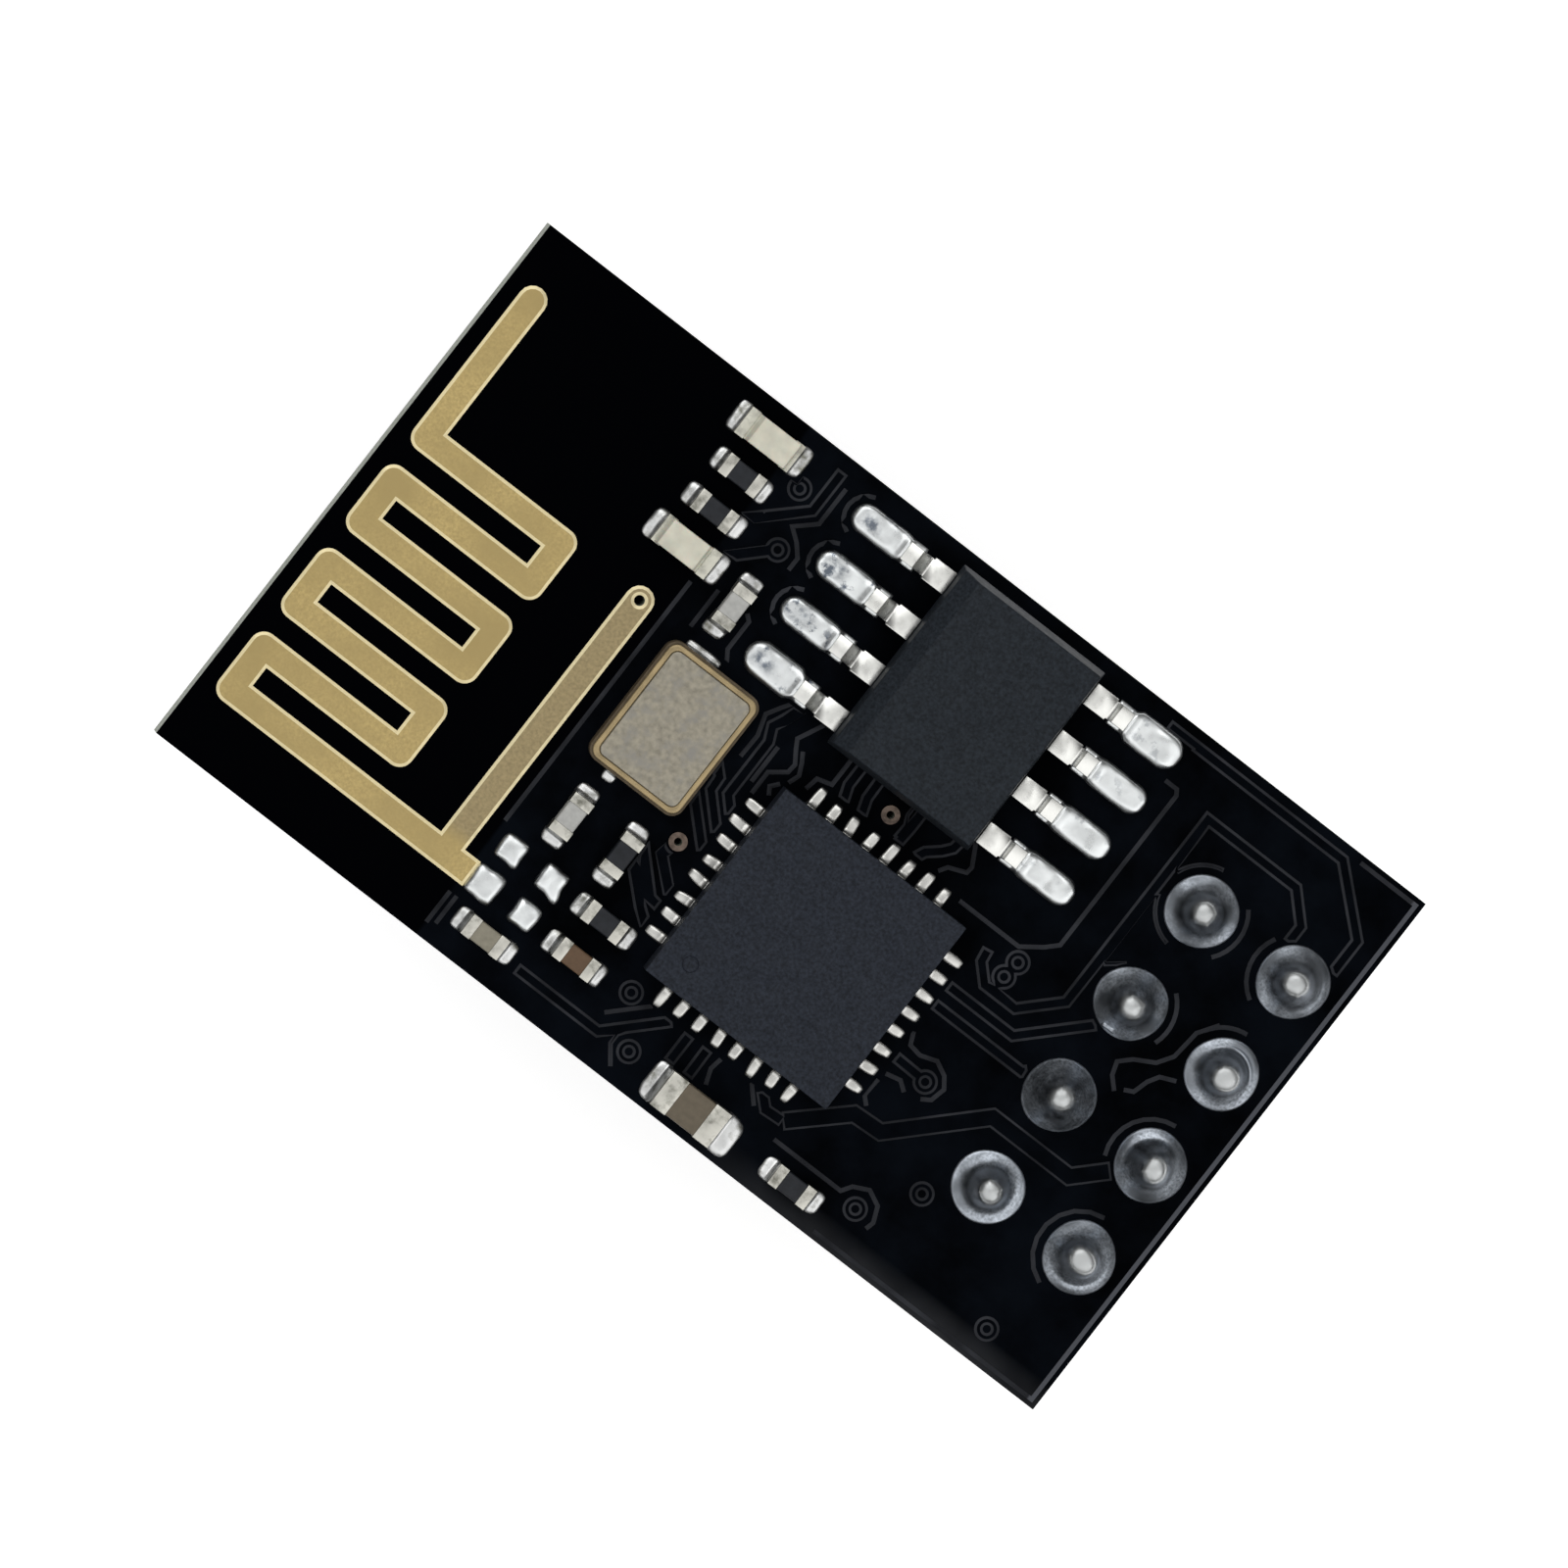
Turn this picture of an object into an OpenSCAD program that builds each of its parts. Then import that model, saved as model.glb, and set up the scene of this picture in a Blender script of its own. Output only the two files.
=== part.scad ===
// Plug-in radio board: a small dark circuit board with a bare meandered antenna at one end and
// a two-row pin header under the other end. Board places are measured from the corner of the
// antenna edge and the lower long edge; the origin is the centre of the header's seating face.

/* [Board] */
// Thickness of the circuit board
board_t = 1; // [0.6:0.1:1.6]
// Height of the covered tracks above the mask
track_h = 0.04; // [0.02:0.01:0.06]
// Length of the board
board_l = 24.3; // [22:0.1:32]
// Width of a covered signal track
track_w = 0.28; // [0.2:0.01:0.3]
// Width of a covered supply track
supply_track_w = 0.42; // [0.3:0.01:0.5]
// Width of the raised edge lines of the copper areas
line_w = 0.1; // [0.06:0.01:0.14]
// Clear gap between a track and the solder that it runs to
track_gap = 0.05; // [0.03:0.01:0.1]
// Outer diameter of a covered via
covered_via_d = 0.56; // [0.4:0.02:0.7]
// Outer diameter of a bare copper via
bare_via_d = 0.42; // [0.36:0.02:0.6]
// Hole diameter of the covered and bare vias
via_hole_d = 0.18; // [0.1:0.02:0.24]
// Thickness of the mask that closes the vias below
via_floor = 0.1; // [0.05:0.01:0.2]
// Gap between the header joints and the copper round them
joint_line_gap = 0.2; // [0.15:0.01:0.3]
// Gap between the memory chip's pads and the copper round them
pool_line_gap = 0.17; // [0.12:0.01:0.25]
// Distance of the copper area's border from the board's edge
border_inset = 0.16; // [0.1:0.02:0.3]

/* [Antenna] */
// Width of the antenna strip
antenna_w = 0.66; // [0.5:0.02:0.8]
// Thickness of the antenna strip
antenna_h = 0.05; // [0.03:0.01:0.08]
// Antenna edge of the board to the meander
antenna_inset = 0.37; // [0.2:0.01:1]
// Number of meander rows
antenna_rows = 7; // [5:2:9]
// Distance between meander rows
row_pitch = 1.152; // [1:0.002:1.2]
// Lower long edge to the middle of the feed row
feed_rise = 1.77; // [1.6:0.01:2.2]
// Upper long edge to the end of the free arm
free_inset = 1.21; // [0.4:0.01:2]
// Gap between the meander and the shorting stub
stub_gap = 1.45; // [0.8:0.01:2.5]
// Gap between the stub's end and the lower lamp
stub_clear = 0.88; // [0.5:0.01:2]
// Hole at the stub's end
stub_via_d = 0.24; // [0.15:0.01:0.35]

/* [Radio chip] */
// Side of the radio chip
radio_size = 5; // [4.6:0.1:7]
// Height of the radio chip
radio_h = 0.85; // [0.6:0.05:1]
// Number of terminals on each side
radio_count = 8; // [4:1:8]
// Distance between terminals
radio_pitch = 0.5; // [0.4:0.01:0.52]
// Width of a terminal
radio_land_w = 0.25; // [0.18:0.01:0.3]
// How far the soldered terminals show beyond the chip
radio_land_reach = 0.5; // [0.3:0.02:0.7]
// Height of the solder on the chip's side
radio_land_rise = 0.24; // [0.1:0.02:0.4]
// Gap between the crystal and the radio chip's terminals
radio_gap = 0.95; // [0.7:0.05:2]
// Diameter of the first-terminal mark
radio_mark_d = 0.36; // [0.2:0.02:0.6]
// Distance of the first-terminal mark from the chip's sides
radio_mark_inset = 0.7; // [0.4:0.05:1.2]

/* [Memory chip] */
// Width of the memory chip's moulding across its leads
memory_w = 3.9; // [3.6:0.05:4.4]
// Length of the moulding along its row of leads
memory_l = 4.9; // [4.7:0.05:6]
// Top of the moulding above the board
memory_h = 1.6; // [1.3:0.05:1.9]
// Gap between the moulding and the board
memory_lift = 0.15; // [0.1:0.01:0.25]
// Height of the mould's parting line, where the leads come out
memory_parting = 0.8; // [0.6:0.02:1]
// Inward slope of the moulding's sides
memory_draft = 0.12; // [0.04:0.01:0.2]
// Width of the bevel along the first-lead side
memory_bevel = 0.32; // [0.1:0.01:0.5]
// Distance between leads
lead_pitch = 1.27; // [1.2:0.01:1.3]
// Width of a lead at its foot
lead_w = 0.46; // [0.3:0.01:0.5]
// Width of a lead at its root
lead_root_w = 0.56; // [0.5:0.01:0.7]
// Thickness of a lead
lead_t = 0.2; // [0.12:0.01:0.25]
// How far a lead stands out of the moulding
lead_reach = 1.15; // [1:0.01:1.4]
// Length of a lead's level root
lead_root_l = 0.58; // [0.3:0.01:0.68]
// Length of the sloping part of a lead, seen from above
lead_slope = 0.15; // [0.1:0.01:0.2]
// Length of the solder in front of a lead's toe
pool_l = 1.41; // [0.8:0.01:1.6]
// Width of the solder in front of a lead's toe
pool_w = 0.68; // [0.5:0.01:0.8]
// Height of the solder in front of a lead's toe
pool_h = 0.27; // [0.22:0.01:0.4]
// Gap between the radio chip's terminals and the memory chip
memory_gap = 0.85; // [0.7:0.05:2]
// Sideways place of the memory chip from the radio chip's middle
memory_shift = -0.47; // [-0.8:0.01:0.2]
// Memory chip to the upper long edge
memory_inset = 0.3; // [0.2:0.05:1]

/* [Crystal] */
// Width of the crystal
crystal_w = 2.5; // [2.2:0.05:3.4]
// Length of the crystal
crystal_l = 3.2; // [2.6:0.05:3.5]
// Height of the crystal's ceramic base
crystal_base_h = 0.5; // [0.3:0.05:0.8]
// Width of the ceramic step outside the gold ring
crystal_step = 0.06; // [0.03:0.01:0.1]
// Width of the gold ring around the lid
crystal_ring_w = 0.13; // [0.1:0.01:0.3]
// Height of the gold ring
crystal_ring_h = 0.1; // [0.05:0.01:0.2]
// Rise of the lid above the gold ring
crystal_lid_rise = 0.05; // [0.02:0.01:0.1]
// Corner radius of the crystal
crystal_round = 0.3; // [0.26:0.02:0.5]
// Gap between the antenna's stub and the crystal
crystal_gap = 0.7; // [0.5:0.05:2]
// Height of the crystal's middle above the radio chip's middle
crystal_rise = 2.04; // [1.9:0.02:2.3]

/* [Small parts] */
// Length of a small resistor or capacitor
small_l = 1; // [0.8:0.05:1.1]
// Width of a small resistor or capacitor
small_w = 0.52; // [0.4:0.02:0.62]
// Height of a small resistor
resistor_h = 0.36; // [0.3:0.02:0.5]
// Height of a small capacitor
capacitor_h = 0.5; // [0.3:0.02:0.6]
// Length of a terminal on a small part
small_cap_l = 0.24; // [0.15:0.01:0.3]
// Length of the supply capacitor
supply_l = 1.6; // [1.4:0.05:1.8]
// Width of the supply capacitor
supply_w = 0.9; // [0.7:0.05:1]
// Height of the supply capacitor
supply_h = 0.8; // [0.5:0.05:1]
// Length of a terminal on the supply capacitor
supply_cap_l = 0.42; // [0.25:0.01:0.5]
// Length of a lamp
lamp_l = 1.46; // [1.2:0.02:1.6]
// Width of a lamp
lamp_w = 0.7; // [0.6:0.02:0.8]
// Height of a lamp's base
lamp_base_h = 0.26; // [0.2:0.02:0.4]
// Height of a lamp's lens above its base
lamp_lens_h = 0.26; // [0.1:0.02:0.4]
// Length of a terminal on a lamp
lamp_cap_l = 0.24; // [0.15:0.01:0.3]
// Distance of a lens from the lamp's plain end
lamp_lens_inset = 0.08; // [0.04:0.01:0.2]
// Gap between a lens and the terminal beside it
lamp_lens_gap = 0.04; // [0.02:0.01:0.1]
// Slope of a lens at its ends
lamp_lens_slope = 0.06; // [0.02:0.01:0.12]
// Thickness of the metal on a part's ends
cap_t = 0.02; // [0.01:0.005:0.04]
// How far the solder reaches beyond a small part
fillet_reach = 0.31; // [0.2:0.01:0.36]
// How far the solder reaches beyond the supply capacitor
supply_fillet_reach = 0.46; // [0.3:0.02:0.6]
// Height of the solder on a part's end, as a share of the part's height
fillet_share = 0.62; // [0.4:0.02:0.9]
// Thickness of the solder film under the parts
film_t = 0.05; // [0.045:0.005:0.1]
// Upper long edge to the upper lamp's middle
lamp_inset = 0.76; // [0.6:0.02:1.4]
// Distance between the rows of lamps and their resistors
lamp_row_pitch = 0.985; // [0.9:0.005:1.1]
// Gap between the crystal and the capacitors above and below it
crystal_part_gap = 0.79; // [0.7:0.01:0.84]
// Place of those capacitors to the side of the crystal's middle
crystal_part_shift = 0.6; // [0.4:0.02:0.8]
// Distance between the rows of the antenna's matching parts
match_row_pitch = 0.95; // [0.9:0.01:1]
// Distance of the first column of matching pads from the stub
match_start = 0.81; // [0.7:0.01:1]
// Distance between the columns of matching pads
match_pitch = 1.1; // [0.9:0.02:1.2]
// Side of a bare matching pad
match_pad = 0.62; // [0.4:0.02:0.7]
// Side of the pad that feeds the antenna
feed_pad = 0.74; // [0.5:0.02:0.8]
// Height of the solder on a bare matching pad
match_pad_h = 0.16; // [0.08:0.02:0.3]
// Gap between the supply capacitor and the radio chip's terminals
supply_gap = 0.85; // [0.6:0.05:2]
// Supply capacitor to the lower long edge
supply_inset = 0.2; // [0.16:0.02:1]
// Distance between the supply capacitor and the resistor beside it
supply_pitch = 2.85; // [2.6:0.05:3.2]
// Sideways place of the supply capacitor from the radio chip's middle
supply_shift = 0.17; // [0:0.01:0.3]
// Sideways place of the lamps from the antenna's stub
lamp_shift = 0.07; // [0:0.01:0.2]
// Place of the resistor below the crystal, to the side of its middle
crystal_resistor_shift = 0.81; // [0.7:0.01:0.9]
// Distance of the matching parts from the first column of pads
match_part_shift = 2.55; // [2.4:0.01:2.7]
// Sideways place of the feed capacitor from the first column of pads
feed_part_shift = 0.67; // [0.5:0.01:0.9]
// Distance of the feed capacitor below the feed row
feed_part_drop = 0.89; // [0.85:0.01:1]
// Distance of the lower matching part below the feed row
match_part_drop = 0.07; // [0:0.01:0.1]

/* [Pin header] */
// Distance between header pins
header_pitch = 2.54; // [2.4:0.01:2.7]
// Height of the header's insulator
header_h = 2.5; // [2:0.1:3]
// Side of a square pin
pin_w = 0.64; // [0.5:0.01:0.66]
// Length of the pins below the insulator
pin_l = 6; // [3:0.1:8]
// Length of the pins above the board
pin_tail = 0.86; // [0.7:0.02:1.4]
// Length of the taper at a pin's lower tip
pin_taper = 0.5; // [0.2:0.05:1]
// Depth of the taper at a pin's tips
pin_point = 0.15; // [0.05:0.01:0.2]
// Length of the taper at a pin's upper tip
pin_nose = 0.55; // [0.3:0.01:0.6]
// Hole for a pin in the board
pin_hole_d = 1; // [0.98:0.02:1.1]
// Diameter of a solder joint on the board
joint_d = 1.65; // [1.4:0.05:1.8]
// Height of a solder joint on its pin
joint_h = 0.6; // [0.3:0.02:0.66]
// Thickness of a solder joint at its rim
joint_rim = 0.08; // [0.04:0.01:0.12]
// Width of the solder around the pin's corners at the top of a joint
joint_neck = 0.03; // [0.02:0.01:0.06]
// Cut-back of the insulator from its full pitch, on each side
header_trim = 0.05; // [0.02:0.01:0.15]
// Depth of the notches between the insulator's cells
header_notch = 0.45; // [0.2:0.05:0.6]
// Lower long edge to the first row of pins
header_rise = 3.25; // [3:0.01:4]
// Pin edge of the board to the outer column of pins
header_inset = 1.255; // [1.23:0.005:2]
// Gap between the memory chip's solder and the header's joints
header_gap = 1.59; // [1.3:0.01:2.5]

/* [Hidden] */
$fn = 48;
// Spare depth of a cut beyond the face that it opens
overcut = 0.5;
// Points along a rounded corner or a solder slope
arc_steps = 8;
slope_steps = 5;
header_rows = 4;
lead_rows = 4;
board_top = header_h + board_t;
joint_r = joint_d / 2;

// Layout across the board, from the lower long edge
supply_v = supply_inset + supply_w / 2;
radio_edge = radio_size / 2 + radio_land_reach;
radio_v = supply_inset + supply_w + supply_gap + radio_edge;
memory_v = radio_v + radio_edge + memory_gap + memory_l / 2;
board_w = memory_v + memory_l / 2 + memory_inset;
lamp_v = board_w - lamp_inset;
crystal_v = radio_v + crystal_rise;
crystal_reach_v = crystal_l / 2 + crystal_part_gap + small_l / 2;

// Layout along the board, back from the pin edge
header_u = board_l - header_inset - header_pitch;
pool_reach = memory_w / 2 + lead_reach + pool_l;
memory_u = header_u - joint_r - header_gap - pool_reach;
radio_u = memory_u - memory_shift;
crystal_u = radio_u - radio_edge - radio_gap - crystal_w / 2;
stub_u = crystal_u - crystal_w / 2 - crystal_gap - antenna_w / 2;
match_u = stub_u + antenna_w / 2 + match_start;
// The meander takes the length that the circuit leaves
antenna_span = stub_u - antenna_w / 2 - stub_gap - antenna_inset;

crystal_solder_reach = crystal_part_gap / 4;
crystal_solder_w = crystal_w * 0.4;

radio_c = [radio_u, radio_v];
memory_c = [memory_u, memory_v];
crystal_c = [crystal_u, crystal_v];
header_c = [header_u + header_pitch / 2, header_rise + header_pitch * (header_rows - 1) / 2];

// Small parts: name, place, turn, length, width, height, terminal length, solder reach, colour
dark = [0.16, 0.17, 0.19];
grey = [0.68, 0.68, 0.66];
supply_u = radio_u + supply_shift;
lamp_u = stub_u + lamp_shift;
match_parts_u = match_u + match_part_shift;
feed_part = [match_u + feed_part_shift, feed_rise - feed_part_drop];
parts = [
    resistor(1, [lamp_u, lamp_v - lamp_row_pitch], 0),
    resistor(2, [lamp_u, lamp_v - 2 * lamp_row_pitch], 0),
    resistor(3, crystal_c + [crystal_resistor_shift, -crystal_reach_v], 90),
    resistor(4, [match_parts_u, feed_rise + match_row_pitch], 0),
    resistor(5, [supply_u + supply_pitch, supply_v], 0),
    capacitor(1, crystal_c + [-crystal_part_shift, crystal_reach_v], 90, grey),
    capacitor(2, crystal_c + [-crystal_part_shift, -crystal_reach_v], 90, grey),
    capacitor(3, [match_parts_u, feed_rise - match_part_drop], 0, [0.43, 0.31, 0.24]),
    capacitor(4, feed_part, 0, [0.64, 0.62, 0.56]),
    ["capacitor_5", [supply_u, supply_v], 0, supply_l, supply_w, supply_h, supply_cap_l,
        supply_fillet_reach, [0.43, 0.38, 0.32]],
    lamp(1, [lamp_u, lamp_v], 0),
    lamp(2, [lamp_u, lamp_v - 3 * lamp_row_pitch], 180),
];
function resistor(n, at, turn) =
    [str("resistor_", n), at, turn, small_l, small_w, resistor_h, small_cap_l, fillet_reach, dark];
function capacitor(n, at, turn, tint) =
    [str("capacitor_", n), at, turn, small_l, small_w, capacitor_h, small_cap_l, fillet_reach, tint];
function lamp(n, at, turn) =
    [str("lamp_", n), at, turn, lamp_l, lamp_w, lamp_base_h, lamp_cap_l, fillet_reach, [0.8, 0.79, 0.72]];
function is_lamp(p) = p[5] == lamp_base_h && p[3] == lamp_l;

// Header pins: two columns, counted from the lower edge
pin_sites = [for (c = [0 : 1], r = [0 : header_rows - 1]) pin_site(c, r)];
function pin_site(column, row) = [header_u + column * header_pitch, header_rise + row * header_pitch];

// Bare pads of the antenna's matching parts
match_sites = [for (column = [0 : 1], row = [0 : 1])
    [match_u + column * match_pitch, feed_rise + row * match_row_pitch]];
match_sides = [feed_pad, match_pad, match_pad, match_pad];

// Leads of the memory chip: side -1 or 1, then the row from the upper end
lead_sites = [for (side = [-1, 1], r = [0 : lead_rows - 1]) [side, ((lead_rows - 1) / 2 - r) * lead_pitch]];

// Antenna
left_u = antenna_inset + antenna_w / 2;
right_u = antenna_inset + antenna_span - antenna_w / 2;
stub_end = lamp_v - 3 * lamp_row_pitch - lamp_w / 2 - stub_clear;
stub_via = [stub_u, stub_end - antenna_w / 2];
feed_end = match_u - feed_pad / 2;
meander = concat(
    [[left_u, board_w - free_inset - antenna_w / 2]],
    [for (i = [0 : antenna_rows - 2], end = [0 : 1])
        [(i + end) % 2 == 0 ? left_u : right_u, feed_rise + (antenna_rows - 1 - i) * row_pitch]],
    [[left_u, feed_rise], [feed_end, feed_rise]]
);

// Points on a circle of radius r round c
function on_circle(c, r, angle) = c + r * [cos(angle), sin(angle)];
function arc(c, r, from, to) =
    [for (k = [0 : arc_steps]) on_circle(c, r, from + (to - from) * k / arc_steps)];
function inner_points(list) = [for (i = [1 : len(list) - 2]) list[i]];
function reversed(list) = [for (i = [len(list) - 1 : -1 : 0]) list[i]];
function left_of(v) = [-v.y, v.x];
function angle_of(v) = atan2(v.y, v.x);
function heading(path, i) = (path[i + 1] - path[i]) / norm(path[i + 1] - path[i]);

// One side of a strip along a path: outer corners are round where asked, inner ones are sharp
function strip_side(path, half, side, rounded) = [
    for (i = [0 : len(path) - 1])
        let (
            a = heading(path, max(i - 1, 0)),
            b = heading(path, min(i, len(path) - 2)),
            turn = atan2(cross(a, b), a * b),
            start = angle_of(side * left_of(a))
        )
        each rounded && side * turn < 0
            ? arc(path[i], half, start, start + turn)
            : [path[i] + side * half * left_of(a + b) / (1 + a * b)]
];
// Outline of a strip along a path, with a round start where asked
function strip(path, width, rounded = false, round_start = false) =
    let (back = angle_of(heading(path, 0)) + 180)
    concat(
        strip_side(path, width / 2, 1, rounded),
        reversed(strip_side(path, width / 2, -1, rounded)),
        round_start ? inner_points(arc(path[0], width / 2, back + 90, back - 90)) : []
    );
// Rectangle with round corners, about the origin
function round_box(w, l, r) = [
    for (corner = [[1, 1, 0], [-1, 1, 90], [-1, -1, 180], [1, -1, 270]])
        each arc([corner.x * (w / 2 - r), corner.y * (l / 2 - r)], r, corner.z, corner.z + 90)
];

// Tracks: a level run first, then a slanting one
function dogleg(a, b) =
    let (d = b - a, slant = min(abs(d.x), abs(d.y)))
    abs(d.x) > abs(d.y)
        ? [a, [b.x - sign(d.x) * slant, a.y], b]
        : [a, [a.x, b.y - sign(d.y) * slant], b];
function radio_offset(i) = (i - (radio_count - 1) / 2) * radio_pitch;
function radio_left(i) = radio_c + [-radio_edge - track_gap, -radio_offset(i)];
function radio_right(i) = radio_c + [radio_edge + track_gap, -radio_offset(i)];
function radio_under(i) = radio_c + [radio_offset(i), -radio_edge - track_gap];
function radio_over(i) = radio_c + [radio_offset(i), radio_edge + track_gap];
function joint_side(column, row, angle) =
    on_circle(pin_site(column, row), joint_r + track_gap, angle);

// Lanes of the tracks over and beside the header, as shares of its pitch
lane_over = 0.66;
lane_beside = 0.447;
last = radio_count - 1;
radio_corner = radio_c + [radio_size, -radio_size] / 2;
header_c1 = pin_site(0, 0);
header_lane = header_c1.y + header_pitch / 2;
header_top = pin_site(0, header_rows - 1).y + header_pitch * lane_over;
header_left = header_u - header_pitch * lane_beside;
upper_lane = board_w - border_inset - track_gap;
joint_out = joint_side(1, 1, 225);
joint_up = joint_side(1, header_rows - 1, 135);
joint_over = joint_side(1, header_rows - 1, 50);
lane_start = radio_corner + [1.35, 0.32];
lamp_c = [lamp_u, lamp_v];

// Tracks between the chips and the header, each with its width
long_tracks = [
    [track_w, dogleg(radio_right(1), joint_side(0, 2, 250))],
    [track_w, dogleg(radio_right(2), joint_side(0, 1, 180))],
    [supply_track_w, [
        radio_corner + [-0.5, -0.8],
        radio_corner + [0.65, 0.28],
        lane_start,
        lane_start + (header_lane - lane_start.y) * [1, 1],
        [joint_out.x - joint_out.y + header_lane, header_lane],
        joint_out,
    ]],
    [track_w, [
        radio_under(last - 1),
        radio_under(last - 1) + [0.3, -0.28],
        radio_corner + [-0.5, -0.8],
    ]],
    [track_w, [
        joint_up,
        joint_up + [0, 0.45],
        [joint_up.x + joint_up.y + 0.45 - header_top, header_top],
        [header_left, header_top],
        [header_left, radio_right(0).y + 0.8],
        [header_left - 0.8, radio_right(0).y],
        [radio_right(0).x + 0.62, radio_right(0).y],
        radio_right(0) + [0.25, 0.37],
        radio_right(0) + [0.2, 0.68],
    ]],
    [track_w, [
        [memory_u + pool_reach - pool_w, upper_lane - track_w / 2],
        [joint_over.x + joint_over.y + 0.9 - upper_lane, upper_lane - track_w / 2],
        joint_over + [0, 0.9],
        joint_over,
    ]],
    [track_w, dogleg(feed_part + [small_l, -track_w / 2], radio_under(1))],
];
// Short tracks, from the middle of the part that they lead to
radio_tracks = [
    [[3.1, -0.68], [3.75, -0.7]],
    [[-3.03, 1.3], [-3.34, 1.62], [-3.34, 3.06], [-3.49, 3.39], [-3.37, 3.65], [-3.2, 4.1]],
    [[-3.03, 0.8], [-3.7, 1.47], [-3.72, 1.8], [-4.2, 2.25]],
    [[-3.03, 0.3], [-4.2, 1.42]],
    [[-3, -0.75], [-3.1, -0.82], [-3.68, -0.3], [-3.6, 0.1]],
    [[-3, -1.25], [-3.3, -1.2], [-4.05, -0.46], [-4.3, -0.2]],
    [[-3, -1.75], [-3.35, -1.5], [-3.95, -0.95], [-4.3, -0.62]],
    [[-1.25, 3.03], [-1.38, 3.39], [-1.38, 4.1]],
    [[-0.75, 3.03], [-0.88, 3.41], [-0.9, 4.1]],
    [[0.25, 3.03], [0.28, 3.45], [0.28, 4.1]],
    [[0.75, 3.03], [0.85, 3.25], [1.13, 3.49], [1.29, 3.69], [1.35, 4.1]],
    [[-0.77, -3.03], [-0.77, -4.2]],
    [[-0.27, -3.03], [-0.25, -4.2]],
];
lamp_tracks = [
    [[1.72, 0.42], [1.72, -0.66], [0.6, -1.73]],
    [[1.64, -1.8], [0.8, -2.64]],
];
// Edges of the copper areas, from the middle of the part beside them
radio_lines = [
    [[2.1, 2.87], [3.75, 2.87], [4.2, 3.2], [4.45, 3.45], [4.45, 7.58], [4.37, 7.7], [4.05, 7.7]],
    [[-3.4, 4.1], [-3.59, 3.81], [-3.77, 3.5], [-3.62, 3.02], [-3.64, 2.44]],
    [[-3.11, 3.1], [-3.11, 2.15]],
    [[-2.95, 1.95], [-2.95, 2.53], [-2.6, 2.8], [-2.58, 3.02], [-2.76, 3.28], [-2.89, 3.5], [-2.6, 4.1]],
    [[-2.45, 2.62], [-2.36, 2.88], [-2.49, 3.15], [-2.62, 3.35]],
    [[-2.58, 2.49], [-2.73, 2.31], [-2.62, 2.14]],
    [[-2.07, 2.75], [-2.01, 3.07], [-1.67, 3.17], [-1.67, 4.1]],
    [[0.05, 4.1], [0.05, 3.65], [0.14, 3.45], [0.12, 3.1]],
    [[1.33, 3.1], [1.45, 3.29], [1.85, 3.45], [1.87, 3.61], [1.6, 4.1]],
    [[3.07, 0], [3.2, -0.28], [3.5, -0.33], [3.88, -0.2], [4.2, -0.36], [4.38, -0.6], [4.3, -0.95],
        [4.1, -1.08]],
    [[3.15, -1.1], [3.5, -1.02], [3.72, -1.18]],
    [[3.1, -1.3], [3.07, -1.75], [3.25, -1.92]],
    [[2.1, -3.73], [3.95, -3.73], [4.1, -3.5], [4.45, -3.33], [4.8, -3.5], [4.95, -3.85], [4.9, -4.05]],
    [[-2.55, -3.8], [-1.8, -3.05]],
    [[-1.85, -3.75], [-2.03, -4], [-2.03, -4.25], [-1.72, -4.65]],
    [[0.1, -3.05], [0.05, -3.35], [0.18, -3.7]],
    [[0.95, -3.05], [1.3, -3.42]],
];
lamp_lines = [
    [[2.01, 0.16], [2.01, -0.8], [1.58, -1.2], [1.87, -1.42], [2.1, -1.68], [2.1, -2]],
    [[1.04, -2.62], [1.02, -3.38]],
    [[1.16, -3.28], [1.16, -4.28]],
    [[1.97, -3.3], [2.11, -3.42], [2.11, -4.18], [2.26, -4.4], [2.27, -4.58]],
    [[0.56, -3.5], [0.56, -10.1]],
    [[0.56, -12.05], [0.56, -12.9]],
    [[0.74, -12.05], [0.74, -12.8]],
];
header_lines = [
    [[1.85, 5.9], [1.55, 5.45], [1.48, 4.75], [1.25, 4.4], [0.8, 4.15], [0.55, 3.9], [0.65, 3.6],
        [0.9, 3.35]],
    [[1.85, 4.35], [1.5, 4.2], [1.35, 3.95], [1.25, 3.6], [1.05, 3.5]],
    [[0.75, 3.85], [0.85, 3.7], [0.95, 3.85]],
    [[-1, 5.4], [-0.6, 5.72]],
];

tracks = concat(
    long_tracks,
    [for (path = radio_tracks) [track_w, [for (p = path) radio_c + p]]],
    [for (path = lamp_tracks) [track_w, [for (p = path) lamp_c + p]]],
    [for (path = radio_lines) [line_w, [for (p = path) radio_c + p]]],
    [for (path = lamp_lines) [line_w, [for (p = path) lamp_c + p]]],
    [for (path = header_lines) [line_w, [for (p = path) header_c1 + p]]],
    [[line_w, [[supply_u + supply_pitch + small_l, border_inset], [board_l - border_inset, border_inset],
        [board_l - border_inset, board_w - border_inset], [joint_over.x - 1, board_w - border_inset]]]],
    // Edges of the copper round the header joints and the memory chip's pads
    [for (ring = [[1, 0, 95, 250], [1, 1, 95, 205], [1, 2, 95, 150], [1, 3, 150, 240],
        [0, 3, 100, 160], [0, 3, 195, 260], [0, 3, -40, 40], [0, 2, -20, 50]])
        [line_w, arc(pin_site(ring[0], ring[1]), joint_r + joint_line_gap, ring[2], ring[3])]],
    [for (r = [0 : lead_rows - 2])
        [line_w, arc(memory_c + [pool_w / 2 - pool_reach, lead_sites[r][1]], pool_w / 2 + pool_line_gap,
            105, 250)]]
);

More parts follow.
